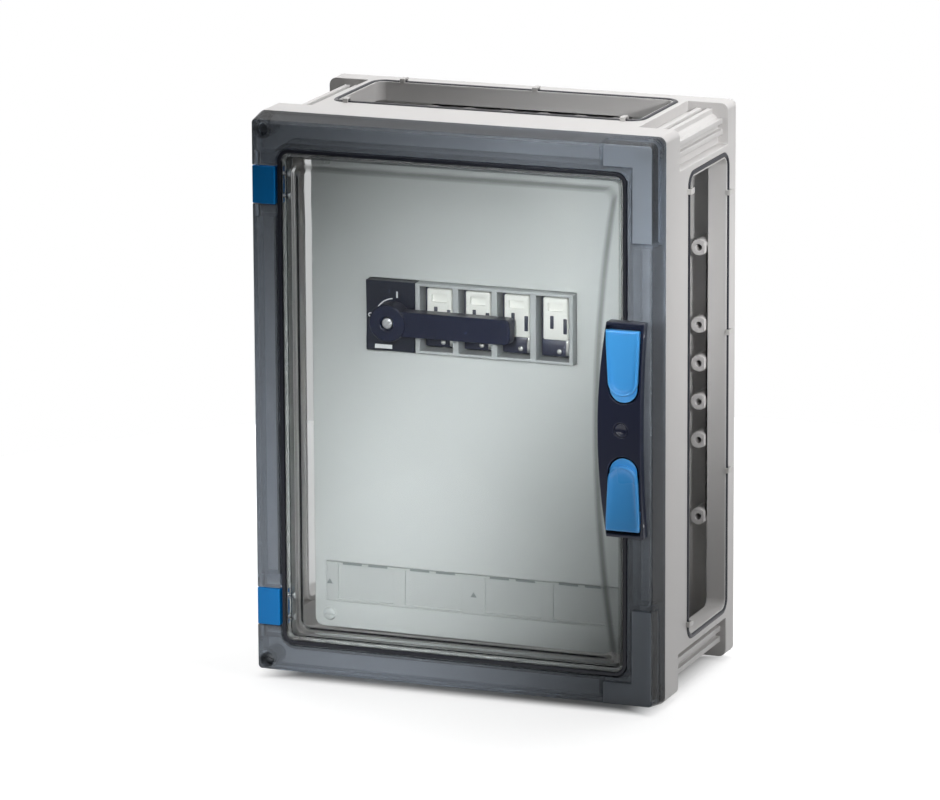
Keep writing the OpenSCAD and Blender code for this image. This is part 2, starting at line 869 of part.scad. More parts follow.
// Outline of the pane's raised middle, drawn in by an inset
module plateau(inset) {
    left = -(door_x - plateau_left - inset);
    right = door_x - plateau_right - inset;
    top = door_z - plateau_ends - inset;
    waist = door_x - plateau_waist - inset;
    bow = max(right - waist, 1);
    bow_r = (pow(top, 2) + pow(bow, 2)) / (2 * bow);
    difference() {
        translate([(left + right) / 2, 0]) rrect(right - left, 2 * top, 3);
        translate([waist + bow_r, 0]) circle(bow_r, $fn = 360);
    }
}

module door_pane() {
    color(clear_smoke) difference() {
        union() {
            slab(pane_back, face_d) rrect(2 * door_x, 2 * door_z, pane_r);
            slab(skirt_back, pane_back) ring(door_x - skirt_t, door_z - skirt_t,
                pane_r - skirt_t, skirt_t);
            slab(face_d, face_d + plateau_rise) plateau(0);
        }
        slab(pane_back - past, face_d + plateau_rise - pane_t) plateau(pane_t);
        both_ends() rod(plate_screw_x, plate_screw_z, plate_screw + 2 * run_fit,
            pane_back - past, face_d + past);
        both_ends() both_leaf_screws(leaf_screw + 2 * run_fit, -door_x - past, -door_x + skirt_t + past);
    }
}

module door_seal() {
    color(seal_black) slab(door_seal_back, door_seal_front) ring(door_x, door_z, pane_r, seal_w);
}

// The two screw lines of the upper hinge leaf
module both_leaf_screws(dia, from, to) {
    for (s = [-1, 1])
        rod_x((leaf_back + leaf_arm_front) / 2, hinge_z + s * leaf_screw_off, dia, from, to);
}

module hinge_leaf() {
    color(hinge_blue) difference() {
        union() {
            block(leaf_left, hinge_z - leaf_h / 2, leaf_right, hinge_z + leaf_h / 2,
                leaf_back, face_d);
            block(leaf_right, hinge_z - leaf_h / 2, -door_x, hinge_z + leaf_h / 2,
                leaf_back, leaf_arm_front);
        }
        rod_z(hinge_x, hinge_d, hinge_pin + 2 * run_fit, hinge_z - leaf_h, hinge_z + leaf_h);
        both_leaf_screws(leaf_screw + 2 * run_fit, -door_x - leaf_screw_in - 1, -door_x + past);
    }
}

module hinge_leaf_upper() hinge_leaf();
module hinge_leaf_lower() mirror([0, 0, 1]) hinge_leaf();

module leaf_screws() {
    head = -door_x + skirt_t;
    color(steel) both_ends() {
        both_leaf_screws(leaf_screw, -door_x - leaf_screw_in, head);
        both_leaf_screws(leaf_screw_head, head, head + leaf_screw_head_h);
    }
}

module hinge_pin() {
    color(steel) rod_z(hinge_x, hinge_d, hinge_pin, hinge_z - pin_l / 2, hinge_z + pin_l / 2);
}

module hinge_pin_upper() hinge_pin();
module hinge_pin_lower() mirror([0, 0, 1]) hinge_pin();

module plate_outline() {
    difference() {
        intersection() {
            rect(plate_left, -plate_h / 2, plate_right, plate_h / 2);
            translate([plate_left + plate_bow_r, 0]) circle(plate_bow_r, $fn = 360);
        }
        translate([plate_right - plate_hollow + plate_hollow_r, 0])
            circle(plate_hollow_r, $fn = 360);
    }
}

// Outline of a paddle seen from the front, grown by a margin
module paddle_outline(grow) {
    tip = latch_z - paddle_l;
    tip_r = paddle_w / 2 - 1.2;
    low = tip + tip_r;
    polygon([[paddle_left - grow, latch_z + paddle_tail], [paddle_right + grow, latch_z + paddle_tail],
        [paddle_right + grow, latch_z - 4], [paddle_mid + tip_r + grow, low],
        [paddle_mid - tip_r - grow, low], [paddle_left - grow, latch_z - 4]]);
    translate([paddle_mid, low]) circle(tip_r + grow, $fn = 96);
}

module latch_pocket() {
    slab(plate_floor, plate_front + past) {
        paddle_outline(gap);
        rect(paddle_left - gap, latch_z - 10, paddle_right + gap, latch_z + pocket_end);
    }
}

module handle_plate() {
    color(navy) difference() {
        union() {
            slab(plate_back, plate_front) plate_outline();
            slab(face_d, plate_back) intersection() {
                plate_outline();
                rect(0, -plate_h, door_x, plate_h);
            }
        }
        both_ends() latch_pocket();
        both_ends() claw_slot(face_d - past, plate_floor + past);
        both_ends() rod_x(latch_d, latch_z, latch_pin + 2 * run_fit, plate_left, plate_right + past);
        both_ends() rod(plate_screw_x, plate_screw_z, plate_screw + 2 * run_fit,
            face_d - past, plate_floor + past);
        rod(lock_x, 0, lock_dia + 2 * run_fit, face_d + plate_t / 3, plate_front + past);
    }
}

module plate_screws() {
    color(steel) both_ends() {
        rod(plate_screw_x, plate_screw_z, plate_screw, pane_back, plate_floor);
        rod(plate_screw_x, plate_screw_z, plate_screw_head, pane_back - 2, pane_back);
    }
}

module lock_plug() {
    color(navy) difference() {
        rod(lock_x, 0, lock_dia, face_d + plate_t / 3, plate_front - 0.4);
        rod(lock_x, 0, lock_dia - 3, plate_front - 1.4, plate_front + past);
    }
}

module latch_pin_piece() {
    pin_from = plate_left + plate_bulge - 0.8;
    color(steel) rod_x(latch_d, latch_z, latch_pin, pin_from, plate_right - 0.8);
}

module latch_pin_upper() latch_pin_piece();
module latch_pin_lower() mirror([0, 0, 1]) latch_pin_piece();

// Torsion spring: a leg on the plate's floor, the turns, and a leg under the paddle
module latch_spring() {
    steps = 12;
    turn = function (a) [spring_x + spring_wire + spring_pitch * a / 360,
        -latch_d - spring_mean_r * cos(a), latch_z + spring_mean_r * sin(a)];
    path = concat(
        [turn(180) + [0, 0, -spring_leg]],
        [for (k = [0:spring_turns * steps + steps / 2]) turn(180 + k * 360 / steps)],
        [turn(180 + spring_turns * 360 + 180) + [0, 0, -spring_leg]]);
    color(steel) tube(path, spring_wire / 2);
}

module latch_spring_upper() latch_spring();
module latch_spring_lower() mirror([0, 0, 1]) latch_spring();

// Section of the paddle, drawn as depth against height
module paddle_section() {
    tip = latch_z - paddle_l - past;
    top = latch_z + paddle_tail;
    polygon([[paddle_back, tip], [paddle_back, latch_z - 3], [latch_d, latch_z + latch_r],
        [latch_d + 1.5, top], [paddle_front - 1.5, top], [paddle_front, top - 1.5],
        [paddle_front, tip]]);
    translate([latch_d, latch_z]) circle(latch_r);
}

// Section of the claw, which hooks outwards behind the frame
module claw_section() {
    rect(claw_back, latch_z - claw_bottom, latch_d, latch_z + claw_top);
    rect(claw_back, latch_z - claw_bottom, claw_nose, latch_z + nose_reach);
}

module latch_paddle() {
    color(latch_blue) difference() {
        union() {
            intersection() {
                along_x(paddle_left, paddle_right) paddle_section();
                slab(plate_floor, paddle_front + past) paddle_outline(0);
            }
            along_x(claw_x, claw_x + claw_w) claw_section();
        }
        rod_x(latch_d, latch_z, latch_pin + 2 * run_fit, paddle_left - past, paddle_right + past);
        block(spring_x - gap, latch_z - spring_leg - 3, spring_x + spring_bay,
            latch_z + latch_r + past, plate_floor - past, latch_d + latch_r);
    }
}

module latch_paddle_upper() latch_paddle();
module latch_paddle_lower() mirror([0, 0, 1]) latch_paddle();

// ---- Inner cover ----

module device_cover() {
    color(cover_grey) difference() {
        union() {
            slab(cover_back, cover_d) rrect(cover_w, cover_h, 6);
            slab(cover_back - cover_skirt, cover_back)
                ring(cover_w / 2 - cover_skirt_t, cover_h / 2 - cover_skirt_t, 4, cover_skirt_t);
        }
        block(dev_left - gap, rail_z - nose_h / 2 - gap, dev_right + gap, rail_z + nose_h / 2 + gap,
            cover_back - past, cover_d + past);
        block(-strip_panel_w / 2, strip_z - strip_panel_h / 2, strip_panel_w / 2,
            strip_z + strip_panel_h / 2, cover_back - past, cover_d + past);
        at_corners(pillar_x, pillar_z)
            rod(0, 0, small_screw + 2 * run_fit, cover_back - past, cover_d + past);
    }
}

module cover_screws() {
    color(light_grey) at_corners(pillar_x, pillar_z) difference() {
        union() {
            rod(0, 0, small_screw, cover_back - 16, cover_d);
            rod(0, 0, cover_head, cover_d, cover_d + cover_head_h);
        }
        block(-cover_head, -0.7, cover_head, 0.7, cover_d + 1, cover_d + cover_head_h + past);
    }
}

module blanking_strip() {
    half_l = strip_panel_w / 2 - gap;
    half = strip_panel_h / 2 - gap;
    color(cover_grey) difference() {
        union() {
            block(-half_l, strip_z - half, half_l, strip_z + half, cover_back, cover_d + 0.6);
            block(-half_l - strip_lip, strip_z - half - strip_lip, half_l + strip_lip,
                strip_z + half + strip_lip, cover_back - 1.5, cover_back);
        }
        both_sides() for (x = [strip_window_at, strip_window_at + strip_window_pitch])
            block(x - strip_window_w / 2, strip_z - strip_window_h / 2, x + strip_window_w / 2,
                strip_z + strip_window_h / 2, cover_d - 0.6, cover_d + past);
    }
}

// ---- Rail and switch ----

module mounting_rail() {
    color(steel) difference() {
        along_x(-rail_l / 2, rail_l / 2) translate([0, rail_z]) {
            rect(rail_back, -rail_web / 2, rail_back + rail_sheet, rail_web / 2);
            for (s = [0, 1]) mirror([0, s]) {
                rect(rail_back, rail_web / 2 - rail_sheet, rail_d, rail_web / 2);
                rect(rail_d - rail_sheet, rail_web / 2 - rail_sheet, rail_d, rail_h / 2);
            }
        }
        both_sides() rod(boss_x, rail_z, small_screw + 1, rail_back - past, rail_d);
    }
}

module rail_screws() {
    color(steel) both_sides() {
        rod(boss_x, rail_z, small_screw, rail_back - 13, rail_back + rail_sheet);
        rod(boss_x, rail_z, 8, rail_back + rail_sheet, rail_back + rail_sheet + 2.5);
    }
}

// Runs the children once at each fuse, moved to its X
module at_poles() {
    for (k = [0:poles - 1]) translate([first_pole + k * pole_pitch, 0, 0]) children();
}

// The children at the line end, and mirrored about the rail at the load end
module line_and_load() {
    line_end() children();
    load_end() children();
}

module line_end() {
    translate([0, 0, rail_z]) children();
}

module load_end() {
    translate([0, 0, rail_z]) mirror([0, 0, 1]) children();
}

module switch_base() {
    color(switch_black) {
        block(dev_left, rail_z - dev_h / 2, dev_right, rail_z + dev_h / 2, base_back, base_front);
        line_and_load() {
            block(dev_left + 8, rail_h / 2 + gap, dev_right - 8, rail_h / 2 + 4,
                rail_d - 3.5, base_back);
            block(dev_left + 8, rail_h / 2 - 2.5, dev_right - 8, rail_h / 2 + gap,
                rail_d - 3.5, rail_d - rail_sheet - gap);
            at_poles() block(-lug_w / 2, bus_z1 + 2, lug_w / 2, lug_z1, base_front, strip_d);
        }
    }
}

// The slot through which a busbar enters a case
module bus_slot(from, to) {
    line_and_load() block(from, bus_z0 - gap, to, bus_z1 + gap, base_front - past,
        base_front + bus_t + gap);
}

module mechanism_case() {
    color(switch_black) difference() {
        union() {
            block(dev_left, rail_z - dev_h / 2, mech_right, rail_z + dev_h / 2,
                base_front, shoulder_d);
            block(dev_left, rail_z - nose_h / 2, mech_right, rail_z + nose_h / 2,
                shoulder_d, nose_d);
        }
        block(dev_left + mech_wall, rail_z - dev_h / 2 + mech_wall, mech_right - mech_wall,
            rail_z + dev_h / 2 - mech_wall, base_front - past, shoulder_d - mech_wall);
        block(dev_left + mech_wall, rail_z - nose_h / 2 + mech_wall, mech_right - mech_wall,
            rail_z + nose_h / 2 - mech_wall, shoulder_d - mech_wall - past, nose_d - mech_wall);
        rod(knob_at_x, knob_z, shaft_dia + 2 * run_fit, shoulder_d, nose_d + past);
        bus_slot(mech_right - mech_wall - past, mech_right + past);
    }
}

module bay_frame() {
    color(light_grey) difference() {
        union() {
            block(bay_left, rail_z - dev_h / 2, dev_right, rail_z + dev_h / 2, base_front, shoulder_d);
            block(bay_left, rail_z - nose_h / 2, dev_right, rail_z + nose_h / 2, shoulder_d, nose_d);
        }
        at_poles() {
            block(-bay_w / 2, rail_z - bay_h / 2, bay_w / 2, rail_z + bay_h / 2,
                base_front - past, nose_d + past);
            block(-bay_w / 2, rail_z - dev_h / 2 + 2, bay_w / 2, rail_z + dev_h / 2 - 2,
                base_front - past, shoulder_d - 2.5);
        }
        line_and_load() at_poles() {
            block(-lug_w / 2, dev_h / 2 - 3, lug_w / 2, dev_h / 2 + past,
                strip_d, terminal_back + terminal_d);
            rod(0, terminal_z, 7, shoulder_d - 4, shoulder_d + past);
        }
        bus_slot(bay_left - past, first_pole + (poles - 0.5) * pole_pitch - 1);
    }
}

module fuse_bodies() {
    color(ceramic) at_poles() slab(fuse_back, fuse_front) translate([0, rail_z])
        rrect(fuse_w, fuse_h, 1.5);
}

module fuse_blades() {
    color(silvered) line_and_load() at_poles()
        block(-blade_t / 2, fuse_h / 2, blade_t / 2, fuse_h / 2 + blade_h, blade_back, blade_front);
}

module fuse_jaws() {
    inside = blade_t / 2 + run_fit;
    color(silvered) line_and_load() at_poles() {
        block(-lug_w / 2, lug_z0, lug_w / 2, lug_z1, strip_d, strip_d + lug_t);
        for (s = [0, 1]) mirror([s, 0, 0])
            block(inside, jaw_z0, inside + jaw_leaf, jaw_z1, strip_d + lug_t, jaw_front);
    }
}

module terminals() {
    color(brass) at_poles() difference() {
        block(-lug_w / 2 + 1, terminal_z - terminal_h / 2, lug_w / 2 - 1, terminal_z + terminal_h / 2,
            terminal_back, terminal_back + terminal_d);
        rod_z(0, terminal_back + terminal_d / 2 - 1, wire_hole,
            terminal_z - terminal_h, terminal_z + terminal_h);
        rod(0, terminal_z, terminal_screw + 2 * run_fit, terminal_back + terminal_d / 2,
            terminal_back + terminal_d + past);
    }
}

module terminal_screws() {
    top = terminal_back + terminal_d + 1;
    color(steel) at_poles() difference() {
        union() {
            rod(0, terminal_z, terminal_screw, top - 3, top);
            rod(0, terminal_z, 6, top, top + 3);
        }
        block(-6, terminal_z - 0.5, 6, terminal_z + 0.5, top + 2, top + 3 + past);
    }
}

module line_terminals() line_end() terminals();
module load_terminals() load_end() terminals();
module line_terminal_screws() line_end() terminal_screws();
module load_terminal_screws() load_end() terminal_screws();

// A busbar from the mechanism to two neighbouring fuses
module busbar(first) {
    last_x = first_pole + (first + 1) * pole_pitch + lug_w / 2;
    block(mech_right - 12, bus_z0, last_x, bus_z1, base_front, base_front + bus_t);
    for (k = [first, first + 1])
        block(first_pole + k * pole_pitch - lug_w / 2, bus_z0, first_pole + k * pole_pitch + lug_w / 2,
            bus_z1, base_front + bus_t, strip_d);
}

module positive_busbar() color(copper) load_end() busbar(0);
module negative_busbar() color(copper) line_end() busbar(2);

module at_decks() {
    for (k = [0:decks - 1]) translate([knob_at_x, -(deck_start + k * deck_d), knob_z]) children();
}

module contact_decks() {
    slot_d = deck_floor + (deck_d - deck_floor - rotor_t) / 2;
    color([0.55, 0.12, 0.1]) at_decks() difference() {
        block(-deck_w / 2, -deck_h / 2, deck_w / 2, deck_h / 2, 0, deck_d - 2 * run_fit);
        rod(0, 0, deck_bore, deck_floor, deck_d + past);
        rod(0, 0, shaft_dia + 0.4, -past, deck_floor + past);
        block(-deck_w, -fixed_w / 2, deck_w, fixed_w / 2, slot_d, deck_d + past);
    }
}

module fixed_contacts() {
    slot_d = deck_floor + (deck_d - deck_floor - rotor_t) / 2;
    color(copper) at_decks() both_sides()
        block(fixed_in, -fixed_w / 2, deck_w / 2, fixed_w / 2, slot_d, slot_d + rotor_t);
}

module rotor_contacts() {
    slot_d = deck_floor + (deck_d - deck_floor - rotor_t) / 2;
    color(copper) at_decks() difference() {
        slab(slot_d, slot_d + rotor_t) {
            circle(d = shaft_dia + 4);
            intersection() {
                square([2 * rotor_r + 1, rotor_w], center = true);
                circle(rotor_r);
            }
        }
        rod(0, 0, shaft_dia + 2 * run_fit, 0, deck_d);
    }
}

module switch_shaft() {
    color(steel) difference() {
        rod(knob_at_x, knob_z, shaft_dia, shaft_back, shaft_front);
        rod(knob_at_x, knob_z, knob_screw + 2 * run_fit, shaft_front - 12, shaft_front + past);
    }
}

module handle_lever() {
    color(switch_black) translate([knob_at_x, 0, knob_z]) difference() {
        union() {
            rod(0, 0, hub_dia, hub_back, hub_front);
            slab(lever_back, lever_front) {
                rect(0, -lever_h / 2, lever_l - 3, lever_h / 2);
                translate([lever_l - 6, 0]) rrect(12, lever_h, 3);
            }
        }
        rod(0, 0, shaft_dia + 2 * run_fit, hub_back - past, shaft_front);
        rod(0, 0, knob_screw + 1, shaft_front - past, knob_seat + past);
        rod(0, 0, knob_screw_head + 0.6, knob_seat, hub_front + past);
    }
}

module handle_screw() {
    color(steel) difference() {
        union() {
            rod(knob_at_x, knob_z, knob_screw, shaft_front - 10, knob_seat);
            rod(knob_at_x, knob_z, knob_screw_head, knob_seat, knob_seat + knob_head_h);
        }
        block(knob_at_x - 5, knob_z - 0.5, knob_at_x + 5, knob_z + 0.5,
            knob_seat + knob_head_h - 1, knob_seat + knob_head_h + past);
    }
}

// ---- Earth bar ----

// Runs the children once at each clamp of the earth bar
module at_clamps() {
    for (k = [0:earth_clamps - 1])
        translate([(k - (earth_clamps - 1) / 2) * earth_pitch, 0, strip_z]) children();
}

module earth_bar() {
    front = earth_back + earth_t;
    color(brass) difference() {
        block(-earth_bar_l / 2, strip_z - earth_w / 2, earth_bar_l / 2, strip_z + earth_w / 2,
            earth_back, front);
        at_clamps() rod_z(0, earth_back + earth_t / 2, earth_wire, -earth_w, earth_w);
        at_clamps() rod(0, 0, small_screw + 2 * run_fit, earth_back + earth_t / 2, front + past);
        both_sides() rod(earth_boss_x, strip_z, small_screw + 2 * run_fit, earth_back - past, front + past);
    }
}

module earth_bar_screws() {
    front = earth_back + earth_t;
    color(steel) {
        at_clamps() {
            rod(0, 0, small_screw, front - 1.5, front + 1);
            rod(0, 0, 5.5, front + 1, front + 3.5);
        }
        both_sides() {
            rod(earth_boss_x, strip_z, small_screw, earth_back - 13, front);
            rod(earth_boss_x, strip_z, 6.5, front, front + 2.5);
        }
    }
}

housing();
wall_seal_top();
wall_seal_bottom();
wall_seal_left();
wall_seal_right();
seal_clips();
rim_seal();
front_frame();
frame_screws();
corner_cap_upper();
corner_cap_lower();
hinge_pin_upper();
hinge_pin_lower();
device_cover();
cover_screws();
blanking_strip();
mounting_rail();
rail_screws();
switch_base();
mechanism_case();
bay_frame();
fuse_bodies();
fuse_blades();
fuse_jaws();
line_terminals();
load_terminals();
line_terminal_screws();
load_terminal_screws();
positive_busbar();
negative_busbar();
contact_decks();
fixed_contacts();
earth_bar();
earth_bar_screws();
handle_lever();
handle_screw();
switch_shaft();
rotor_contacts();
door_pane();
door_seal();
handle_plate();
plate_screws();
hinge_leaf_upper();
hinge_leaf_lower();
leaf_screws();
latch_pin_upper();
latch_pin_lower();
latch_spring_upper();
latch_spring_lower();
lock_plug();
latch_paddle_upper();
latch_paddle_lower();
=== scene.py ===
"""Looks of a wall-mounted direct-current combiner box.

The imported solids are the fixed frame. Each class dresses one sub-assembly: it takes its
places from the frame's nodes, keeps its own sizes as fields in metres, builds a finer mesh
where the plain solid is too hard-edged, and gives every piece its finish. The front of the
box looks along -Y and the rear wall lies at Y = 0.
"""

from __future__ import annotations

import logging
import math
from collections.abc import Callable, Iterable, Iterator, Sequence
from contextlib import contextmanager
from dataclasses import dataclass
from enum import Enum

import bmesh
import bpy
from mathutils import Matrix, Quaternion, Vector
from mathutils.geometry import delaunay_2d_cdt

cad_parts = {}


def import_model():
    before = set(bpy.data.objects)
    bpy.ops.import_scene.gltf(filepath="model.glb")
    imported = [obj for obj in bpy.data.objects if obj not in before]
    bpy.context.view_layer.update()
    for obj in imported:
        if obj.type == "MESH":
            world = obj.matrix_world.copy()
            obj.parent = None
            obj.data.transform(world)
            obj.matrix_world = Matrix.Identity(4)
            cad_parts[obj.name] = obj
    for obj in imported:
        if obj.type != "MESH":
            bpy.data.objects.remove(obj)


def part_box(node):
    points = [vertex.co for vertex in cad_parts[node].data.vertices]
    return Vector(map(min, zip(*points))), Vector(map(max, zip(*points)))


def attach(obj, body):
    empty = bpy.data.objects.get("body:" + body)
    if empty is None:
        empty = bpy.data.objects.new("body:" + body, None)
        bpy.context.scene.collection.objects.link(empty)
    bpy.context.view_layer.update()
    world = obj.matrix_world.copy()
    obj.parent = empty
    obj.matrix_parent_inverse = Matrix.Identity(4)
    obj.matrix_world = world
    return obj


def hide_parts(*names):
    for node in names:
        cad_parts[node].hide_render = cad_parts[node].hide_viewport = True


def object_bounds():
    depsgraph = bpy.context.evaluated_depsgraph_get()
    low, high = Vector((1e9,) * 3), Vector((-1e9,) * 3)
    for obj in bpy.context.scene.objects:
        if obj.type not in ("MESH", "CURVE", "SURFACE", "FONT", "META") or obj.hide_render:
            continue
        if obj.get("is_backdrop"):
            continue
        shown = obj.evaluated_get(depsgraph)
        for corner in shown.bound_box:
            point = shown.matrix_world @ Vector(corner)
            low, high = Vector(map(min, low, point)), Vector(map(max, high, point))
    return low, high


LOG = logging.getLogger("combiner_box")

# Lengths are in metres, areas in square metres and angles in radians.
TINY = 1e-5  # points closer than this are one
ON_PLANE = 4e-6  # how far a corner of a flat face may lie off its plane
SLIVER = 1e-9  # smallest flat region that has a direction of its own
SLIVER_SHARE = 0.02  # a face this small beside a large one may lean and still belong to it
FLAT = math.radians(0.6)  # faces that differ less lie in one plane
LEANS = math.radians(5)  # what a sliver may differ from the large face beside it
ROUNDED_FROM = math.radians(40)  # edges this sharp or sharper are rounded
TURNS_ON = math.radians(50)  # flat regions that differ more meet in a hard edge
GOES_ON = math.radians(150)  # edges that meet at less than this are a corner
FOLDED = 0.999  # cosine below which two faces of one plane face different ways
CDT_FULL = 0  # the triangulation keeps all that it lays
PRINT = 0.0001  # half the thickness of a printed mark

RUBBED = 1.25  # how much lighter a rubbed place is
DUST = (0.5, 0.48, 0.45)
FINE_BUMP = 0.0001
# EDGE_ON and FACE_ON also set where the painted shade on the narrow sides of tinted plastic begins and ends
EDGE_ON, FACE_ON = 0.6, 0.97  # how far a tinted face turns from narrow side to front or back
FRONT_ON, FRONT_OFF = -0.98, -0.7  # how far the frosted front turns away
MOULDED_SWING, CLEAR_SWING, METAL_SWING = 0.15, 0.4, 0.3  # share by which the roughness changes

Colour = tuple[float, float, float]
Point = tuple[float, float]
Loop = list[Point]
Box = tuple[Vector, Vector]
Ring = tuple[Loop, "float | Callable[[Point], float]"]
Weight = Callable[[Vector, Vector], float]
Socket = bpy.types.NodeSocket
Outputs = bpy.types.NodeOutputs
Group = bpy.types.NodeTree
Place = Sequence[float]
Values = dict[str | int, object]
Inputs = dict[str, "float | None"]
Piece = bpy.types.Object
Face = bmesh.types.BMFace
Edge = bmesh.types.BMEdge
OpenMesh = bmesh.types.BMesh


class Axis(Enum):
    """A direction of the shared frame."""

    X = 0
    Y = 1
    Z = 2


class Body(Enum):
    """The bodies that pieces ride on."""

    ENCLOSURE = "enclosure"
    DOOR = "door"
    HANDLE = "handle"
    LATCH_UPPER = "latch_upper"
    LATCH_LOWER = "latch_lower"


# ---------------------------------------------------------------- node trees


class Graph:
    """A node tree that is being wired up."""

    def __init__(self, tree: Group) -> None:
        """Keeps the tree."""
        self.tree = tree

    def node(self, kind: str, values: Values | None = None, **settings: object) -> bpy.types.Node:
        """Adds a node.

        Args:
            kind: Blender's type name of the node.
            values: By socket name or number, the value it holds or the socket that feeds it.
            **settings: Properties of the node.

        Returns:
            The new node.
        """
        made = self.tree.nodes.new(kind)
        for key, value in settings.items():
            setattr(made, key, value)
        for key, value in (values or {}).items():
            if isinstance(value, Socket):
                self.tree.links.new(value, made.inputs[key])
            else:
                made.inputs[key].default_value = value
        return made

    def math(self, operation: str, first: Socket | float, second: Socket | float = 0.0) -> Socket:
        """Adds a math node and gives its output."""
        return self.node("ShaderNodeMath", {0: first, 1: second}, operation=operation).outputs[0]

    def split(self, vector: Socket) -> Outputs:
        """The X, Y and Z of a vector."""
        return self.node("ShaderNodeSeparateXYZ", {0: vector}).outputs

    def ramp(
        self, value: Socket, low: float, high: float, start: float = 0.0, end: float = 1.0, soft: bool = False
    ) -> Socket:
        """Maps a range of values to another.

        Args:
            value: The value.
            low: Result at the start.
            high: Result at the end.
            start: Where the range starts.
            end: Where it ends.
            soft: True if it leaves and arrives gently.

        Returns:
            The mapped output.
        """
        ends = {"Value": value, "From Min": start, "From Max": end, "To Min": low, "To Max": high}
        manner = "SMOOTHSTEP" if soft else "LINEAR"
        return self.node("ShaderNodeMapRange", ends, interpolation_type=manner).outputs["Result"]

    def mix(self, mask: Socket, low: Colour | Socket, high: Colour) -> Socket:
        """Mixes two colours by a mask.

        Args:
            mask: Socket from 0 to 1.
            low: Colour at 0.
            high: Colour at 1.

        Returns:
            The mixed colour.
        """
        first = low if isinstance(low, Socket) else (*low, 1.0)
        made = self.node("ShaderNodeMix", {"Factor": mask, "A": first, "B": (*high, 1.0)}, data_type="RGBA")
        return next(s for s in made.outputs if s.type == "RGBA")

    def noise(self, vector: Socket, scale: Socket | float, detail: float, stretch: Colour = (1, 1, 1)) -> Socket:
        """Adds a noise texture.

        Args:
            vector: The place.
            scale: Fineness per metre.
            detail: Number of octaves.
            stretch: Factors along X, Y and Z.

        Returns:
            The noise from 0 to 1.
        """
        place = self.node("ShaderNodeMapping", {"Vector": vector, "Scale": stretch}).outputs[0]
        values = {"Vector": place, "Scale": scale, "Detail": detail}
        return self.node("ShaderNodeTexNoise", values).outputs["Fac"]

    def placed(self, group: Group, values: dict[str, object]) -> Outputs:
        """Places a shader group with its own values and gives its outputs."""
        return self.node("ShaderNodeGroup", values, node_tree=group).outputs

    def bump(self, height: Socket, strength: float) -> Socket:
        """Turns a fine height into a normal."""
        values = {"Height": height, "Strength": strength, "Distance": FINE_BUMP}
        return self.node("ShaderNodeBump", values).outputs[0]


def shader_group(name: str, inputs: Inputs, results: Callable[[Graph, Outputs], dict]) -> Group:
    """Builds a shader node group.

    Args:
        name: The group's name.
        inputs: Input names with their values, None for a vector.
        results: Wires the group from its inputs and gives its outputs by name.

    Returns:
        The group, built once.
    """
    if name in bpy.data.node_groups:
        return bpy.data.node_groups[name]
    tree = bpy.data.node_groups.new(name, "ShaderNodeTree")
    for title, value in inputs.items():
        kind = "NodeSocketVector" if value is None else "NodeSocketFloat"
        socket = tree.interface.new_socket(title, in_out="INPUT", socket_type=kind)
        if value is not None:
            socket.default_value = value
    graph = Graph(tree)
    made = results(graph, graph.node("NodeGroupInput").outputs)
    for title in made:
        tree.interface.new_socket(title, in_out="OUTPUT", socket_type="NodeSocketFloat")
    graph.node("NodeGroupOutput", made)
    return tree


def moulded_skin() -> Group:
    """The surface of an injection-moulded part: slow clouds of tone, fine texture and faint rubs.

    Returns:
        A group with Vector, Cloud and Grain inputs, and Tone, Height and Rub outputs.
    """

    def results(graph: Graph, given: Outputs) -> dict[str, Socket]:
        """Wires the group."""
        rub_scale, unrubbed, rub_edge = 60.0, 0.62, 5.0
        place = given["Vector"]
        cloud = graph.noise(place, given["Cloud"], 3.0)
        flow = graph.noise(place, given["Cloud"], 1.0, (0.4, 0.4, 1.6))
        rub = graph.math("SUBTRACT", graph.noise(place, rub_scale, 6.0, (1.0, 1.0, 7.0)), unrubbed)
        rub = graph.math("MAXIMUM", graph.math("MULTIPLY", rub, rub_edge), 0.0)
        return {
            "Tone": graph.math("MULTIPLY", graph.math("ADD", cloud, flow), 0.5),
            "Height": graph.noise(place, given["Grain"], 2.0),
            "Rub": graph.math("MINIMUM", rub, 1.0),
        }

    return shader_group("moulded_skin", {"Vector": None, "Cloud": 14.0, "Grain": 2600.0}, results)


def brushed_lines() -> Group:
    """Rolled or brushed metal: long thin lines along X with a slow change of tone.

    Returns:
        A group with Vector and Density inputs, and Tone and Height outputs.
    """

    def results(graph: Graph, given: Outputs) -> dict[str, Socket]:
        """Wires the group."""
        drawn_out, cloud_scale = 0.03, 45.0
        lines = graph.noise(given["Vector"], given["Density"], 3.0, (drawn_out, 1.0, 1.0))
        cloud = graph.noise(given["Vector"], cloud_scale, 3.0)
        return {"Tone": graph.math("MULTIPLY", graph.math("ADD", lines, cloud), 0.5), "Height": lines}

    return shader_group("brushed_lines", {"Vector": None, "Density": 700.0}, results)


def settled_dust() -> Group:
    """A thin film of dust on what faces up, broken by wiping.

    Returns:
        A group with Vector, Normal and Amount inputs, and a Mask output.
    """

    def results(graph: Graph, given: Outputs) -> dict[str, Socket]:
        """Wires the group."""
        too_steep, patch_scale, strength = 0.5, 38.0, 4.0
        upward = graph.math("SUBTRACT", graph.split(given["Normal"])["Z"], too_steep)
        upward = graph.math("MAXIMUM", upward, 0.0)
        patches = graph.noise(given["Vector"], patch_scale, 5.0)
        film = graph.math("MULTIPLY", graph.math("MULTIPLY", upward, patches), given["Amount"])
        return {"Mask": graph.math("MULTIPLY", film, strength)}

    return shader_group("settled_dust", {"Vector": None, "Normal": None, "Amount": 0.1}, results)


# ---------------------------------------------------------------- finishes


def scaled(colour: Colour, factor: float) -> Colour:
    """A colour made lighter or darker."""
    return tuple(min(1.0, max(0.0, c * factor)) for c in colour)


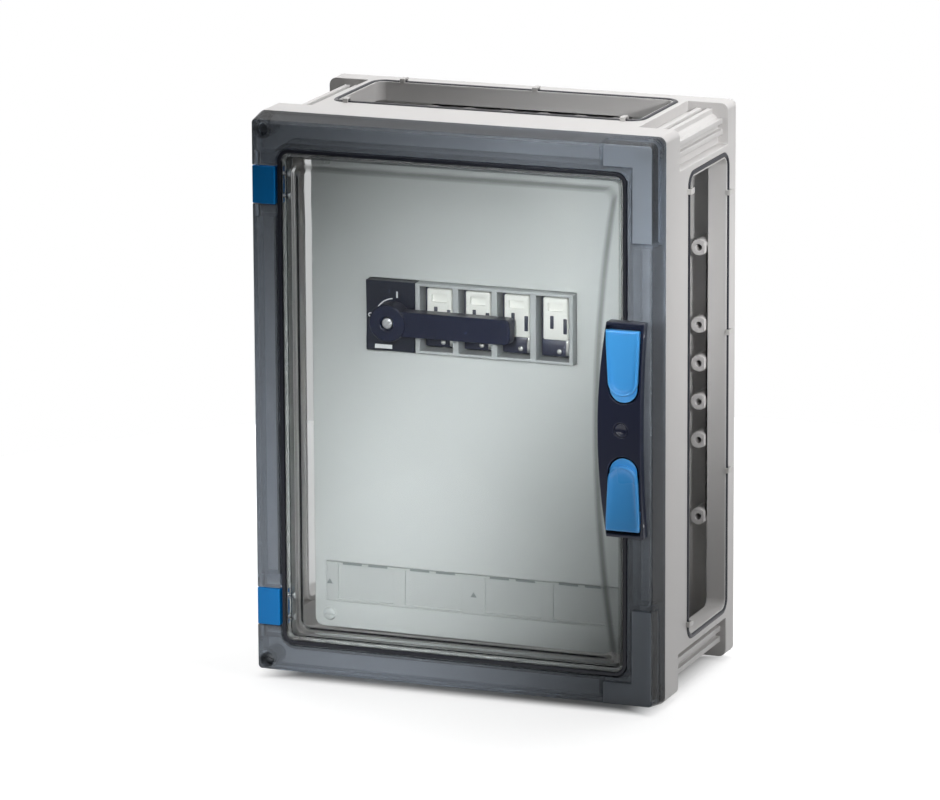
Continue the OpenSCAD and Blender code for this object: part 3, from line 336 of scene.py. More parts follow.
def from_hex(code: str) -> Colour:
    """Linear colour of a six-digit screen colour."""
    parts = (int(code[i : i + 2], 16) / 255 for i in (0, 2, 4))
    return tuple(c / 12.92 if c <= 0.04045 else ((c + 0.055) / 1.055) ** 2.4 for c in parts)


@dataclass(frozen=True)
class Finish:
    """What a piece is made of.

    Attributes:
        name: Name of the material.
        slot: The record's material slot; not used.
        colour: Linear base colour.
        roughness: Mean roughness.
        variation: Share by which tone changes over the surface.
    """

    name: str
    slot: str
    colour: Colour
    roughness: float = 0.4
    variation: float = 0.06

    def material(self) -> bpy.types.Material:
        """The material, built once.

        Returns:
            The material.
        """
        if self.name in bpy.data.materials:
            return bpy.data.materials[self.name]
        material = bpy.data.materials.new(self.name)
        material.use_nodes = True
        material.diffuse_color = (*self.colour, 1.0)
        material.node_tree.nodes.clear()
        graph = Graph(material.node_tree)
        place = graph.node("ShaderNodeTexCoord").outputs
        surface = self.surface(graph, place["Object"], place["Normal"])
        graph.node("ShaderNodeOutputMaterial", {"Surface": surface})
        return material

    def surface(self, graph: Graph, place: Socket, normal: Socket) -> Socket:
        """Wires the shader from the place on the piece and its normal, and gives its output."""
        raise NotImplementedError

    def toned(self, graph: Graph, tone: Socket) -> Socket:
        """The base colour, a little darker and lighter by tone."""
        low, high = (scaled(self.colour, 1 + share) for share in (-self.variation, self.variation))
        return graph.mix(tone, low, high)

    def dull(self, graph: Graph, tone: Socket, swing: float) -> Socket:
        """The roughness, less and more by tone."""
        return graph.ramp(tone, self.roughness * (1 - swing), min(1.0, self.roughness * (1 + swing)))


@dataclass(frozen=True)
class Moulded(Finish):
    """Opaque moulded plastic, rubber or ceramic.

    Attributes:
        specular: Specular level of the surface.
        coat: Weight of a clear gloss over it.
        grain: Fineness of the moulded texture, per metre.
        relief: Strength of the texture's bump.
        dust: Amount of dust on what faces up.
        rub: How far rubbed places lighten.
    """

    specular: float = 0.5
    coat: float = 0.0
    grain: float = 2600.0
    relief: float = 0.1
    dust: float = 0.05
    rub: float = 0.1

    def surface(self, graph: Graph, place: Socket, normal: Socket) -> Socket:
        """Wires moulded plastic with its rubs and dust.

        Args:
            graph: The material's tree.
            place: The place on the piece.
            normal: The surface's normal.

        Returns:
            The shader's output.
        """
        skin = graph.placed(moulded_skin(), {"Vector": place, "Grain": self.grain})
        film = graph.placed(settled_dust(), {"Vector": place, "Normal": normal, "Amount": self.dust})
        rubbed = graph.math("MULTIPLY", skin["Rub"], self.rub)
        body = graph.mix(rubbed, self.toned(graph, skin["Tone"]), scaled(self.colour, RUBBED))
        values = {
            "Base Color": graph.mix(film["Mask"], body, DUST),
            "Roughness": self.dull(graph, skin["Tone"], MOULDED_SWING),
            "Normal": graph.bump(skin["Height"], self.relief),
            "Specular IOR Level": self.specular,
            "Coat Weight": self.coat,
        }
        return graph.node("ShaderNodeBsdfPrincipled", values).outputs[0]


@dataclass(frozen=True)
class SeeThrough(Finish):
    """Tinted clear plastic that lets the lamps through.

    Attributes:
        index: Index of refraction.
        shadow: What share of lamp light one untinted surface passes.
        frost: How strongly the fine texture of the front face scatters light.
        edge: Painted shade on the narrow sides: share of the colour that is left on faces that turn away from the
            front and back.
        blur: How much duller the narrow sides are than the faces.
    """

    index: float = 1.2
    shadow: float = 0.97
    frost: float = 0.0
    edge: float = 0.5
    blur: float = 0.12

    def surface(self, graph: Graph, place: Socket, normal: Socket) -> Socket:
        """Wires clear plastic, with a see-through shader for the lamps' shadow rays.

        Args:
            graph: The material's tree.
            place: The place on the piece.
            normal: The surface's normal.

        Returns:
            The output of the two shaders' mix.
        """
        tone = graph.placed(moulded_skin(), {"Vector": place, "Cloud": 9.0})["Tone"]
        depth = graph.split(normal)["Y"]
        facing = graph.math("ABSOLUTE", depth)
        # painted shade: the colour is darker on faces that turn away from the front and back
        level = graph.ramp(facing, self.edge, 1.0, EDGE_ON, FACE_ON)
        colour = {0: self.toned(graph, tone), "Scale": level}
        tint_and_side_shade = graph.node("ShaderNodeVectorMath", colour, operation="SCALE")
        sides = graph.ramp(facing, self.blur, 0.0, EDGE_ON, FACE_ON)
        values = {
            "Base Color": tint_and_side_shade.outputs["Vector"],
            "Roughness": graph.math("ADD", self.dull(graph, tone, CLEAR_SWING), sides),
            "Transmission Weight": 1.0,
            "IOR": self.index,
        }
        if self.frost:
            values["Transmission Weight"] = graph.ramp(depth, 1 - self.frost, 1.0, FRONT_ON, FRONT_OFF)
        shader = graph.node("ShaderNodeBsdfPrincipled", values)
        passed = (*(self.shadow * math.sqrt(c) for c in self.colour), 1.0)
        clear = graph.node("ShaderNodeBsdfTransparent", {"Color": passed})
        ray = graph.node("ShaderNodeLightPath").outputs["Is Shadow Ray"]
        ends = {"Fac": ray, 1: shader.outputs[0], 2: clear.outputs[0]}
        return graph.node("ShaderNodeMixShader", ends).outputs[0]


@dataclass(frozen=True)
class Metal(Finish):
    """Plated, rolled or turned metal.

    Attributes:
        density: Fineness of the lines, per metre.
        relief: Strength of the bump.
    """

    density: float = 700.0
    relief: float = 0.15

    def surface(self, graph: Graph, place: Socket, normal: Socket) -> Socket:
        """Wires brushed metal.

        Args:
            graph: The material's tree.
            place: The place on the piece.
            normal: The surface's normal; not used.

        Returns:
            The shader's output.
        """
        lines = graph.placed(brushed_lines(), {"Vector": place, "Density": self.density})
        values = {
            "Base Color": self.toned(graph, lines["Tone"]),
            "Roughness": self.dull(graph, lines["Tone"], METAL_SWING),
            "Normal": graph.bump(lines["Height"], self.relief),
            "Metallic": 1.0,
        }
        return graph.node("ShaderNodeBsdfPrincipled", values).outputs[0]


GREY_SLOT, COVER_SLOT, SMOKE_SLOT = "light_grey_plastic", "cover_grey_plastic", "smoke_tinted_plastic"
HOUSING_GREY = Moulded("housing_grey", GREY_SLOT, from_hex("CBC9C8"), 0.45, 0.03, grain=1500.0)
CLIP_GREY = Moulded("clip_grey", GREY_SLOT, from_hex("C4C2C0"), 0.4, 0.03)
BAY_GREY = Moulded("bay_grey", GREY_SLOT, from_hex("B4B8B9"), 0.36, 0.05)
BASE_GREY = Moulded("base_grey", GREY_SLOT, from_hex("8D9193"), 0.45, 0.04)
COVER_GREY = Moulded("cover_grey", COVER_SLOT, from_hex("C9CDCC"), 0.5, 0.02, grain=1800.0)
STRIP_GREY = Moulded("strip_grey", COVER_SLOT, from_hex("C0C4C3"), 0.45, 0.02, grain=1800.0)
# edge sets how dark the painted shade on each tint's narrow sides is
SMOKE_TINT = SeeThrough("smoke_tint", SMOKE_SLOT, from_hex("BCC3CB"), 0.12, 0.05, 1.2, frost=0.27, edge=0.4)
CAP_TINT = SeeThrough("cap_tint", SMOKE_SLOT, from_hex("C4CBD3"), 0.1, 0.05, 1.2, frost=0.34, edge=0.4)
DOOR_TINT = SeeThrough(
    "door_tint", "clear_tinted_plastic", from_hex("F3F5F5"), 0.02, 0.01, 1.18, edge=0.3, blur=0.34
)
SEAL_BLACK = Moulded(
    "seal_black", "black_rubber", from_hex("10131F"), 0.42, 0.2, 0.4, grain=900.0, relief=0.2
)
HINGE_BLUE = Moulded("hinge_blue", "blue_plastic", from_hex("0088DA"), 0.35, 0.04, 0.4, dust=0.02)
LATCH_BLUE = Moulded("latch_blue", "blue_plastic", from_hex("4AAEFF"), 0.28, 0.05, 0.5, 0.3, dust=0.02)
PLATE_NAVY = Moulded("plate_navy", "navy_plastic", from_hex("0D1530"), 0.3, 0.12, 0.5, 0.15)
SWITCH_NAVY = Moulded("switch_navy", "navy_plastic", from_hex("11172D"), 0.34, 0.1, 0.4)
SWITCH_BLACK = Moulded("switch_black", "black_plastic", from_hex("1B1F2C"), 0.38, 0.1, 0.4)
# dark carrier colour, also used as painted shade in the fuse bodies' slots
CARRIER_DARK_AND_SLOT_SHADE = Moulded("well_dark", "black_plastic", from_hex("343747"), 0.4, 0.1)
MARK_GREY = Moulded("mark_grey", "black_plastic", from_hex("8A9090"), 0.5, 0.05)
CERAMIC = Moulded("fuse_white", "fuse_ceramic", from_hex("F0F1EC"), 0.18, 0.02, 0.5, 0.5, relief=0.03)
MARK_WHITE = Moulded("mark_white", "fuse_ceramic", from_hex("E6E8EA"), 0.4, 0.02)
DECK_RED = Moulded("deck_red", "red_plastic", from_hex("8C3A30"), 0.45, 0.06)
ZINC = Metal("zinc", "steel", (0.62, 0.63, 0.65), 0.34, 0.1)
BLACKENED = Metal("blackened_steel", "steel", (0.15, 0.16, 0.17), 0.4, 0.1)
SPRING_STEEL = Metal("spring_steel", "steel", (0.6, 0.6, 0.62), 0.22, 0.06)
SILVERED = Metal("silvered", "silvered_metal", (0.82, 0.82, 0.8), 0.24, 0.08)
COPPER = Metal("copper_bar", "copper", (0.78, 0.42, 0.25), 0.28, 0.12)
BRASS = Metal("brass_bar", "brass", (0.78, 0.61, 0.3), 0.26, 0.1)


# ---------------------------------------------------------------- meshes


@contextmanager
def opened(mesh: bpy.types.Mesh, keep: bool = True) -> Iterator[OpenMesh]:
    """Opens a mesh for work on its faces.

    Args:
        mesh: The mesh.
        keep: True if the result is written back to it.

    Yields:
        The open mesh.
    """
    built = bmesh.new()
    built.from_mesh(mesh)
    built.faces.index_update()
    yield built
    if keep:
        built.to_mesh(mesh)
    built.free()


def linked(name: str, mesh: bpy.types.Mesh) -> Piece:
    """Puts a mesh into the scene as a piece."""
    piece = bpy.data.objects.new(name, mesh)
    bpy.context.scene.collection.objects.link(piece)
    return piece


def new_piece(name: str, verts: Sequence[Place], faces: Sequence[Sequence[int]]) -> Piece:
    """Makes an object at the origin from points and faces.

    Args:
        name: The piece's name.
        verts: Points in metres, in the shared frame.
        faces: Corner numbers of each face.

    Returns:
        The object, with its normals pointing outwards.
    """
    mesh = bpy.data.meshes.new(name)
    mesh.from_pydata([tuple(v) for v in verts], [], [tuple(f) for f in faces])
    mesh.update()
    with opened(mesh) as built:
        bmesh.ops.remove_doubles(built, verts=built.verts, dist=TINY / 10)
        bmesh.ops.recalc_face_normals(built, faces=built.faces)
    return linked(name, mesh)


def baked(piece: Piece) -> Piece:
    """Turns a piece's modifiers into plain mesh and gives the piece back."""
    graph = bpy.context.evaluated_depsgraph_get()
    result = bpy.data.meshes.new_from_object(piece.evaluated_get(graph))
    result.name = piece.name
    piece.modifiers.clear()
    piece.data = result
    return piece


def shade(piece: Piece, angle: float = 35.0) -> Piece:
    """Shades a piece smooth up to an angle in degrees."""
    piece.data.shade_smooth()
    piece.data.set_sharp_from_angle(angle=math.radians(angle))
    return piece


def merged_copy(node: str, name: str) -> Piece:
    """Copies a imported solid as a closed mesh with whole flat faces.

    Args:
        node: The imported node.
        name: The new piece's name.

    Returns:
        The copy.
    """
    mesh = bpy.data.meshes.new(name)
    with opened(bpy.data.objects[node].data, keep=False) as built:
        bmesh.ops.remove_doubles(built, verts=built.verts, dist=TINY)
        bmesh.ops.dissolve_limit(built, angle_limit=FLAT, verts=built.verts, edges=built.edges)
        many = [face for face in built.faces if len(face.verts) > 4]
        holed = [face for face in many if any(e.calc_face_angle(1.0) < FLAT for e in face.edges)]
        parts = bmesh.ops.triangulate(built, faces=holed, quad_method="BEAUTY", ngon_method="BEAUTY")
        inside = [e for e in parts["edges"] if e.calc_face_angle(1.0) < FLAT]
        bmesh.ops.beautify_fill(built, faces=parts["faces"], edges=inside)
        built.to_mesh(mesh)
    return linked(name, mesh)


def connected(first: object, beside: Callable[[object], Iterable[object]]) -> list:
    """Everything that hangs together with a face or point.

    Args:
        first: Where to begin.
        beside: Gives the neighbours of a face or point that belong with it.

    Returns:
        The faces or points in the order in which they are met.
    """
    found, waiting = {first: True}, [first]
    while waiting:
        for item in beside(waiting.pop()):
            if item not in found:
                found[item] = True
                waiting.append(item)
    return list(found)


def plane_group(first: Face, taken: set[int]) -> list[Face]:
    """The faces in one plane with a face, whichever way they face.

    Args:
        first: The face.
        taken: Numbers of the faces that belong to other planes.

    Returns:
        The face and those that join it directly or through others.
    """
    normal, level = first.normal.copy(), first.normal.dot(first.verts[0].co)

    def beside(face: Face) -> Iterator[Face]:
        """The neighbours that lie in the plane."""
        for other in (f for edge in face.edges for f in edge.link_faces):
            flat = all(abs(normal.dot(v.co) - level) < ON_PLANE for v in other.verts)
            if flat and other.index not in taken:
                yield other

    return connected(first, beside)


def retile(piece: Piece) -> Piece:
    """Lays flat faces anew where the rounding has folded them over, and closes open rims.

    Args:
        piece: The rounded piece.

    Returns:
        The same piece.
    """
    with opened(piece.data) as built:
        seen: set[int] = set()
        folded = []
        for first in sorted(built.faces, key=lambda f: -f.calc_area()):
            if first.index in seen:
                continue
            group = plane_group(first, seen)
            seen |= {face.index for face in group}
            if any(face.normal.dot(first.normal) < FOLDED and face.calc_area() > 0 for face in group):
                folded.append((first.normal.copy(), group))
        for normal, group in folded:
            lay_plane(built, normal, group)
        gaps = [edge for edge in built.edges if len(edge.link_faces) == 1]
        bmesh.ops.holes_fill(built, edges=gaps, sides=0)
    return piece


def centroid(points: Sequence[Vector], tile: Sequence[int]) -> Vector:
    """The mean of some of the points."""
    return sum((points[k] for k in tile), Vector((0, 0))) / len(tile)


def within(point: Vector, outline: Sequence[tuple[Vector, Vector]]) -> bool:
    """Tells if a point lies within an outline that may have holes.

    Args:
        point: The point.
        outline: The runs of the outline and of its holes in any order.

    Returns:
        True if a line from the point to the far right crosses an odd count of runs.
    """
    crossed = False
    for a, b in outline:
        if (a.y > point.y) != (b.y > point.y):
            crossed ^= point.x < a.x + (point.y - a.y) * (b.x - a.x) / (b.y - a.y)
    return crossed


def lay_plane(built: OpenMesh, normal: Vector, group: list[Face]) -> None:
    """Replaces a group of faces in one plane by clean triangles within the same outline.

    Args:
        built: The mesh.
        normal: The plane's normal.
        group: The faces.
    """
    inner = set(group)
    edges = dict.fromkeys(edge for face in group for edge in face.edges)
    rim = [edge for edge in edges if sum(face in inner for face in edge.link_faces) == 1]
    verts = list(dict.fromkeys(vert for edge in rim for vert in edge.verts))
    number = {vert: k for k, vert in enumerate(verts)}
    turn = normal.rotation_difference(Vector((0, 0, 1))).to_matrix()
    flat = [turn @ vert.co for vert in verts]
    level = sum(place.z for place in flat) / len(flat)
    links = [(number[edge.verts[0]], number[edge.verts[1]]) for edge in rim]
    points, _, tiles, origin, _, _ = delaunay_2d_cdt([v.xy for v in flat], links, [], CDT_FULL, TINY / 100)
    outline = [(flat[a].xy, flat[b].xy) for a, b in links]
    back = turn.transposed()
    corners = [
        verts[old[0]] if old else built.verts.new(back @ Vector((*points[k], level)))
        for k, old in enumerate(origin)
    ]
    slot = group[0].material_index
    bmesh.ops.delete(built, geom=group, context="FACES_KEEP_BOUNDARY")
    for tile in tiles:
        ring = [corners[k] for k in tile]
        if len(set(ring)) > 2 and not built.faces.get(ring) and within(centroid(points, tile), outline):
            face = built.faces.new(ring)
            face.normal_update()
            face.material_index = slot
            if face.normal.dot(normal) < 0:
                face.normal_flip()


def flat_regions(built: OpenMesh) -> tuple[list[int], list[Vector]]:
    """Groups faces that lie in one plane side by side; slivers join the large face beside them.

    Args:
        built: The mesh, with its face numbers up to date.

    Returns:
        The region of each face, and each region's normal with the region's area as its length.
    """
    areas = [face.calc_area() for face in built.faces]
    region = [-1] * len(areas)
    weights: list[Vector] = []
    for first in sorted(built.faces, key=lambda f: -areas[f.index]):
        if region[first.index] >= 0:
            continue
        small = SLIVER_SHARE * areas[first.index]

        def beside(face: Face) -> Iterator[Face]:
            """The free neighbours that face as the first one does."""
            for other in (f for edge in face.edges for f in edge.link_faces if region[f.index] < 0):
                if other.normal.angle(first.normal, 1.0) < (LEANS if areas[other.index] < small else FLAT):
                    yield other

        group = connected(first, beside)
        for face in group:
            region[face.index] = len(weights)
        weights.append(sum((face.normal * areas[face.index] for face in group), Vector((0, 0, 0))))
    return region, weights


def settle_normals(piece: Piece) -> Piece:
    """Shades a rounded piece so that its flat faces look flat and only the roundings turn.

    Args:
        piece: The piece.

    Returns:
        The same piece.
    """
    piece.data.shade_smooth()
    normals: list[Vector] = []
    with opened(piece.data, keep=False) as built:
        region, weights = flat_regions(built)
        for loop in (loop for face in built.faces for loop in face.loops):
            around = {region[face.index] for face in loop.vert.link_faces}
            own = weights[region[loop.face.index]]
            if own.length < SLIVER:
                own = max((weights[k] for k in around), key=lambda w: w.length)
            near = [weights[k] for k in around if weights[k].length > 0]
            total = sum((w for w in near if w.angle(own, 0.0) < TURNS_ON), Vector((0, 0, 0)))
            normals.append(total.normalized() if total.length > 0 else loop.face.normal.copy())
    piece.data.normals_split_custom_set([tuple(n) for n in normals])
    return piece


def room_beside(edge: Edge, sharp: set[Edge]) -> float:
    """How wide an edge's rounding may be before it runs into its neighbours.

    Args:
        edge: The edge.
        sharp: All the edges that are rounded.

    Returns:
        The width in metres.
    """
    across, around, straight = 0.45, 0.35, 0.03
    room = math.inf
    for vert in edge.verts:
        along = edge.other_vert(vert).co - vert.co
        for other in (e for e in vert.link_edges if e is not edge):
            away = other.other_vert(vert).co - vert.co
            turn = along.angle(away, 0.0)
            if turn < GOES_ON:
                room = min(room, across * away.length * math.sin(turn))
            elif other in sharp and math.pi - turn > straight:
                room = min(room, around * (away.length + along.length) / (math.pi - turn))
    return room


def rounded(piece: Piece, width: float, segments: int, **settings: object) -> Piece:
    """Rounds a piece's edges.

    Args:
        piece: The piece.
        width: Width of the rounding in metres.
        segments: Steps across the rounding.
        **settings: Properties of the bevel.

    Returns:
        The same piece.
    """
    bevel = piece.modifiers.new("rounding", "BEVEL")
    for key, value in {"width": width, "segments": segments, **settings}.items():
        setattr(bevel, key, value)
    return baked(piece)


def softened(
    node: str,
    name: str,
    width: float,
    segments: int = 2,
    weight: Weight | None = None,
) -> Piece:
    """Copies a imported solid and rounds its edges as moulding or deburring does.

    Args:
        node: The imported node.
        name: The new piece's name.
        width: Width of the rounding in metres.
        segments: Steps across the rounding.
        weight: Share of the width for an edge from its two ends, or None for all alike.

    Returns:
        The rounded copy, which stays within the node's box.
    """
    piece = merged_copy(node, name)
    with opened(piece.data) as built:
        layer = built.edges.layers.float.new("bevel_weight_edge")
        sharp = {e for e in built.edges if len(e.link_faces) == 2 and e.calc_face_angle(0.0) > ROUNDED_FROM}
        for edge in sharp:
            share = weight(edge.verts[0].co, edge.verts[1].co) if weight else 1.0
            edge[layer] = max(0.0, min(share, room_beside(edge, sharp) / width))
    retile(rounded(piece, width, segments, use_clamp_overlap=False, limit_method="WEIGHT"))
    low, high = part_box(node)
    for vert in piece.data.vertices:
        vert.co = [min(max(c, a), b) for c, a, b in zip(vert.co, low, high)]
    return settle_normals(piece)


def islands(node: str) -> list[Box]:
    """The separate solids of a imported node.

    Args:
        node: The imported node.

    Returns:
        Lowest and highest corner of each solid, ordered by place.
    """
    seen: set[bmesh.types.BMVert] = set()
    found = []
    with opened(bpy.data.objects[node].data, keep=False) as built:
        bmesh.ops.remove_doubles(built, verts=built.verts, dist=TINY)
        for first in built.verts:
            if first not in seen:
                group = connected(first, lambda vert: [edge.other_vert(vert) for edge in vert.link_edges])
                seen.update(group)
                sides = [[vert.co[i] for vert in group] for i in range(3)]
                found.append((Vector(map(min, sides)), Vector(map(max, sides))))
    return sorted(found, key=lambda b: tuple(round(v, 4) for v in b[0]))


def middle(box: Box) -> Vector:
    """The centre of a box."""
    return (box[0] + box[1]) / 2


def between(first: Point, last: Point, count: int) -> Loop:
    """Points that divide a straight run into a count of steps, without its ends."""
    return [
        (first[0] + (last[0] - first[0]) * k / count, first[1] + (last[1] - first[1]) * k / count)
        for k in range(1, count)
    ]


def rounded_loop(x0: float, x1: float, z0: float, z1: float, radius: float, steps: int, along: int) -> Loop:
    """A rounded rectangle, counter-clockwise from the right side's upper end.

    Args:
        x0: Left side.
        x1: Right side.
        z0: Lower side.
        z1: Upper side.
        radius: Corner radius.
        steps: Steps round each corner.
        along: Steps along each side.

    Returns:
        The loop's points.
    """
    r = max(radius, TINY)
    points: Loop = []
    centres = (x1 - r, z1 - r), (x0 + r, z1 - r), (x0 + r, z0 + r), (x1 - r, z0 + r)
    for quarter, (cx, cz) in enumerate(centres):
        arc = [math.radians(90.0 * (quarter + k / steps)) for k in range(steps + 1)]
        corner = [(cx + r * math.cos(a), cz + r * math.sin(a)) for a in arc]
        if points:
            points += between(points[-1], corner[0], along)
        points += corner
    return points + between(points[-1], points[0], along)


def skin(
    name: str,
    rings: Sequence[Sequence[Place]],
    links: Sequence[tuple[int, int]] = (),
    caps: Sequence[int] = (),
) -> Piece:
    """Builds a closed skin through rings of equally many points.

    Args:
        name: The piece's name.
        rings: The points of each ring.
        links: Numbers of the rings that are joined; left out, each is joined to the next.
        caps: Numbers of the rings that are closed; left out, the first and the last.

    Returns:
        The piece.
    """
    count, last = len(rings[0]), len(rings) - 1
    faces: list[Sequence[int]] = [
        (a * count + k, a * count + (k + 1) % count, b * count + (k + 1) % count, b * count + k)
        for a, b in links or [(k, k + 1) for k in range(last)]
        for k in range(count)
    ]
    faces += [range(ring * count, (ring + 1) * count) for ring in caps or (0, last)]
    return new_piece(name, [point for ring in rings for point in ring], faces)


def stood(ring: Ring) -> list[tuple[float, float, float]]:
    """The points of an X and Z outline at its depth in front of the wall, or by its rule for the depth."""
    loop, depth = ring
    return [(x, -(depth((x, z)) if callable(depth) else depth), z) for x, z in loop]


def turned(name: str, profile: Sequence[Point], at: Place, axis: Axis, steps: int = 24) -> Piece:
    """Turns a profile round an axis.

    Args:
        name: The piece's name.
        profile: Radius and distance along the axis for each point.
        at: Where distance 0 lies.
        axis: The turning axis.
        steps: Steps round the axis.

    Returns:
        The piece.
    """
    order = {Axis.X: (2, 0, 1), Axis.Y: (0, 2, 1), Axis.Z: (0, 1, 2)}[axis]
    rings = []
    for radius, along in profile:
        arc = [math.tau * k / steps for k in range(steps)]
        places = [(radius * math.cos(a), radius * math.sin(a), along) for a in arc]
        rings.append([Vector([place[k] for k in order]) + Vector(at) for place in places])
    return skin(name, rings)


def cut(piece: Piece, tool: Piece) -> Piece:
    """Cuts a tool out of a piece, removes the tool and gives the piece back."""
    step = piece.modifiers.new("cut", "BOOLEAN")
    step.operation = "DIFFERENCE"
    step.solver = "EXACT"
    step.object = tool
    baked(piece)
    bpy.data.objects.remove(tool)
    return piece


def slab(name: str, low: Place, high: Place, rounding: float = 0.0, segments: int = 2) -> Piece:
    """A block between two corners with rounded edges.

    Args:
        name: The piece's name.
        low: Lowest corner.
        high: Highest corner.
        rounding: Width of the edges' rounding, or 0.
        segments: Steps across the rounding.

    Returns:
        The piece.
    """
    ends = (low, high)
    verts = [(ends[i][0], ends[j][1], ends[k][2]) for i in (0, 1) for j in (0, 1) for k in (0, 1)]
    faces = [(0, 1, 3, 2), (4, 6, 7, 5), (0, 4, 5, 1), (2, 3, 7, 6), (0, 2, 6, 4), (1, 5, 7, 3)]
    piece = new_piece(name, verts, faces)
    return rounded(shade(piece), rounding, segments, harden_normals=True) if rounding else piece


def joined(name: str, parts: Sequence[Piece]) -> Piece:
    """Joins pieces into one and uses them up.

    Args:
        name: The joined piece's name.
        parts: The pieces.

    Returns:
        The joined piece.
    """
    if len(parts) > 1:
        with bpy.context.temp_override(active_object=parts[0], selected_editable_objects=list(parts)):
            bpy.ops.object.join()
    parts[0].name = name
    parts[0].data.name = name
    return parts[0]


def screw_pattern(box: Box, slot: float, deep: float, shank: float) -> Piece:
    """A slotted screw along Y with its head towards -Y, centred in a box.

    Args:
        box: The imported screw's box.
        slot: Width of the slot.
        deep: Depth of the slot.
        shank: Shank diameter as a share of the head's.

    Returns:
        The pattern at the origin.
    """
    size = box[1] - box[0]
    head_r, front, back = size.x / 2, -size.y / 2, size.y / 2
    head_h, shank_r, tip = min(0.003, size.y * 0.35), head_r * shank, 0.0004
    profile = [
        (TINY, front),
        (head_r * 0.55, front + head_h * 0.05),
        (head_r * 0.82, front + head_h * 0.2),
        (head_r * 0.96, front + head_h * 0.5),
        (head_r, front + head_h * 0.9),
        (head_r * 0.97, front + head_h),
        (shank_r, front + head_h),
        (shank_r, back - tip),
        (shank_r * 0.7, back),
        (TINY, back),
    ]
    pattern = turned("screw_pattern", profile, (0, 0, 0), Axis.Y)
    wide = head_r * 1.2
    cut(pattern, slab("blade", (-wide, front - 0.001, -slot / 2), (wide, front + deep, slot / 2)))
    return shade(pattern, 30)


# ---------------------------------------------------------------- geometry nodes


class Tree:
    """A Geometry Nodes tree with named inputs, of which the last is its material."""

    def __init__(self, name: str, inputs: dict[str, float | None]) -> None:
        """Starts the tree.

        Args:
            name: The tree's name.
            inputs: Input names with their values, None for a pattern piece.
        """
        self.tree = bpy.data.node_groups.new(name, "GeometryNodeTree")
        self.keys: dict[str, str] = {}
        sockets = self.tree.interface
        sockets.new_socket("Geometry", in_out="INPUT", socket_type="NodeSocketGeometry")
        for title, value in inputs.items():
            kind = "NodeSocketObject" if value is None else "NodeSocketFloat"
            socket = sockets.new_socket(title, in_out="INPUT", socket_type=kind)
            if value is not None:
                socket.default_value = value
            self.keys[title] = socket.identifier
        last = sockets.new_socket("Material", in_out="INPUT", socket_type="NodeSocketMaterial")
        self.keys["Material"] = last.identifier
        sockets.new_socket("Geometry", in_out="OUTPUT", socket_type="NodeSocketGeometry")
        self.graph = Graph(self.tree)
        self.given = self.graph.node("NodeGroupInput").outputs

    def step(self, kind: str, values: dict[str | int, object], **settings: object) -> Socket:
        """Adds a node under its short name and gives its first output."""
        return self.graph.node(f"GeometryNode{kind}", values, **settings).outputs[0]

    def close(self, geometry: Socket) -> Tree:
        """Realizes the geometry and gives it the material."""
        real = self.step("RealizeInstances", {0: geometry})
        dress = self.step("SetMaterial", {"Geometry": real, "Material": self.given["Material"]})
        self.graph.node("NodeGroupOutput", {0: dress})
        return self

    def make(
        self,
        name: str,
        finish: Finish,
        values: dict[str, object],
        points: Sequence[Vector] = (),
        turns: Sequence[Vector] = (),
    ) -> Piece:
        """Runs the tree and keeps the result as a plain piece.

        Args:
            name: The piece's name.
            finish: The piece's finish.
            values: Input values by name.
            points: Places that the tree works on.
            turns: For each place its turn as Euler angles.

        Returns:
            The piece.
        """
        mesh = bpy.data.meshes.new(name)
        mesh.from_pydata([tuple(p) for p in points] or [(0, 0, 0)], [], [])
        turn = mesh.attributes.new("turn", "FLOAT_VECTOR", "POINT")
        for item, value in zip(turn.data, turns):
            item.vector = value
        piece = linked(name, mesh)
        step = piece.modifiers.new("nodes", "NODES")
        step.node_group = self.tree
        for title, value in {**values, "Material": finish.material()}.items():
            step[self.keys[title]] = value
        return baked(piece)


def copies_tree() -> Tree:
    """Copies one pattern piece to every point, turned as the point's own turn says.

    Returns:
        The tree, with inputs Pattern, Size and Material.
    """
    tree = Tree("copies_at_points", {"Pattern": None, "Size": 1.0})
    pattern = tree.graph.node(
        "GeometryNodeObjectInfo", {"Object": tree.given["Pattern"]}, transform_space="ORIGINAL"
    )
    turn = tree.graph.node("GeometryNodeInputNamedAttribute", {"Name": "turn"}, data_type="FLOAT_VECTOR")
    values = {
        "Points": tree.given["Geometry"],
        "Instance": pattern.outputs["Geometry"],
        "Rotation": next(s for s in turn.outputs if s.enabled),
        "Scale": tree.given["Size"],
    }
    return tree.close(tree.step("InstanceOnPoints", values))


def bead_tree() -> Tree:
    """Sweeps a round-backed bead along a rounded rectangle in the XZ plane.

    Returns:
        The tree, with inputs Width, Height, Radius, Bead Width, Bead Height and Material.
    """
    sizes = {"Width": 0.1, "Height": 0.1, "Radius": 0.006, "Bead Width": 0.003, "Bead Height": 0.002}
    tree = Tree("bead_round_an_opening", sizes)
    given = tree.given
    frame = tree.step(
        "CurvePrimitiveQuadrilateral", {"Width": given["Width"], "Height": given["Height"]}, mode="RECTANGLE"
    )
    path = tree.step("FilletCurve", {"Curve": frame, "Radius": given["Radius"], "Count": 8}, mode="POLY")
    disc = tree.step("CurvePrimitiveCircle", {"Resolution": 14, "Radius": 0.5})
    across = {"X": given["Bead Width"], "Y": given["Bead Height"], "Z": 1.0}
    size = tree.graph.node("ShaderNodeCombineXYZ", across).outputs[0]
    oval = tree.step("Transform", {"Geometry": disc, "Scale": size})
    sweep = tree.step("CurveToMesh", {"Curve": path, "Profile Curve": oval, "Fill Caps": False})
    return tree.close(tree.step("SetShadeSmooth", {"Geometry": sweep}))


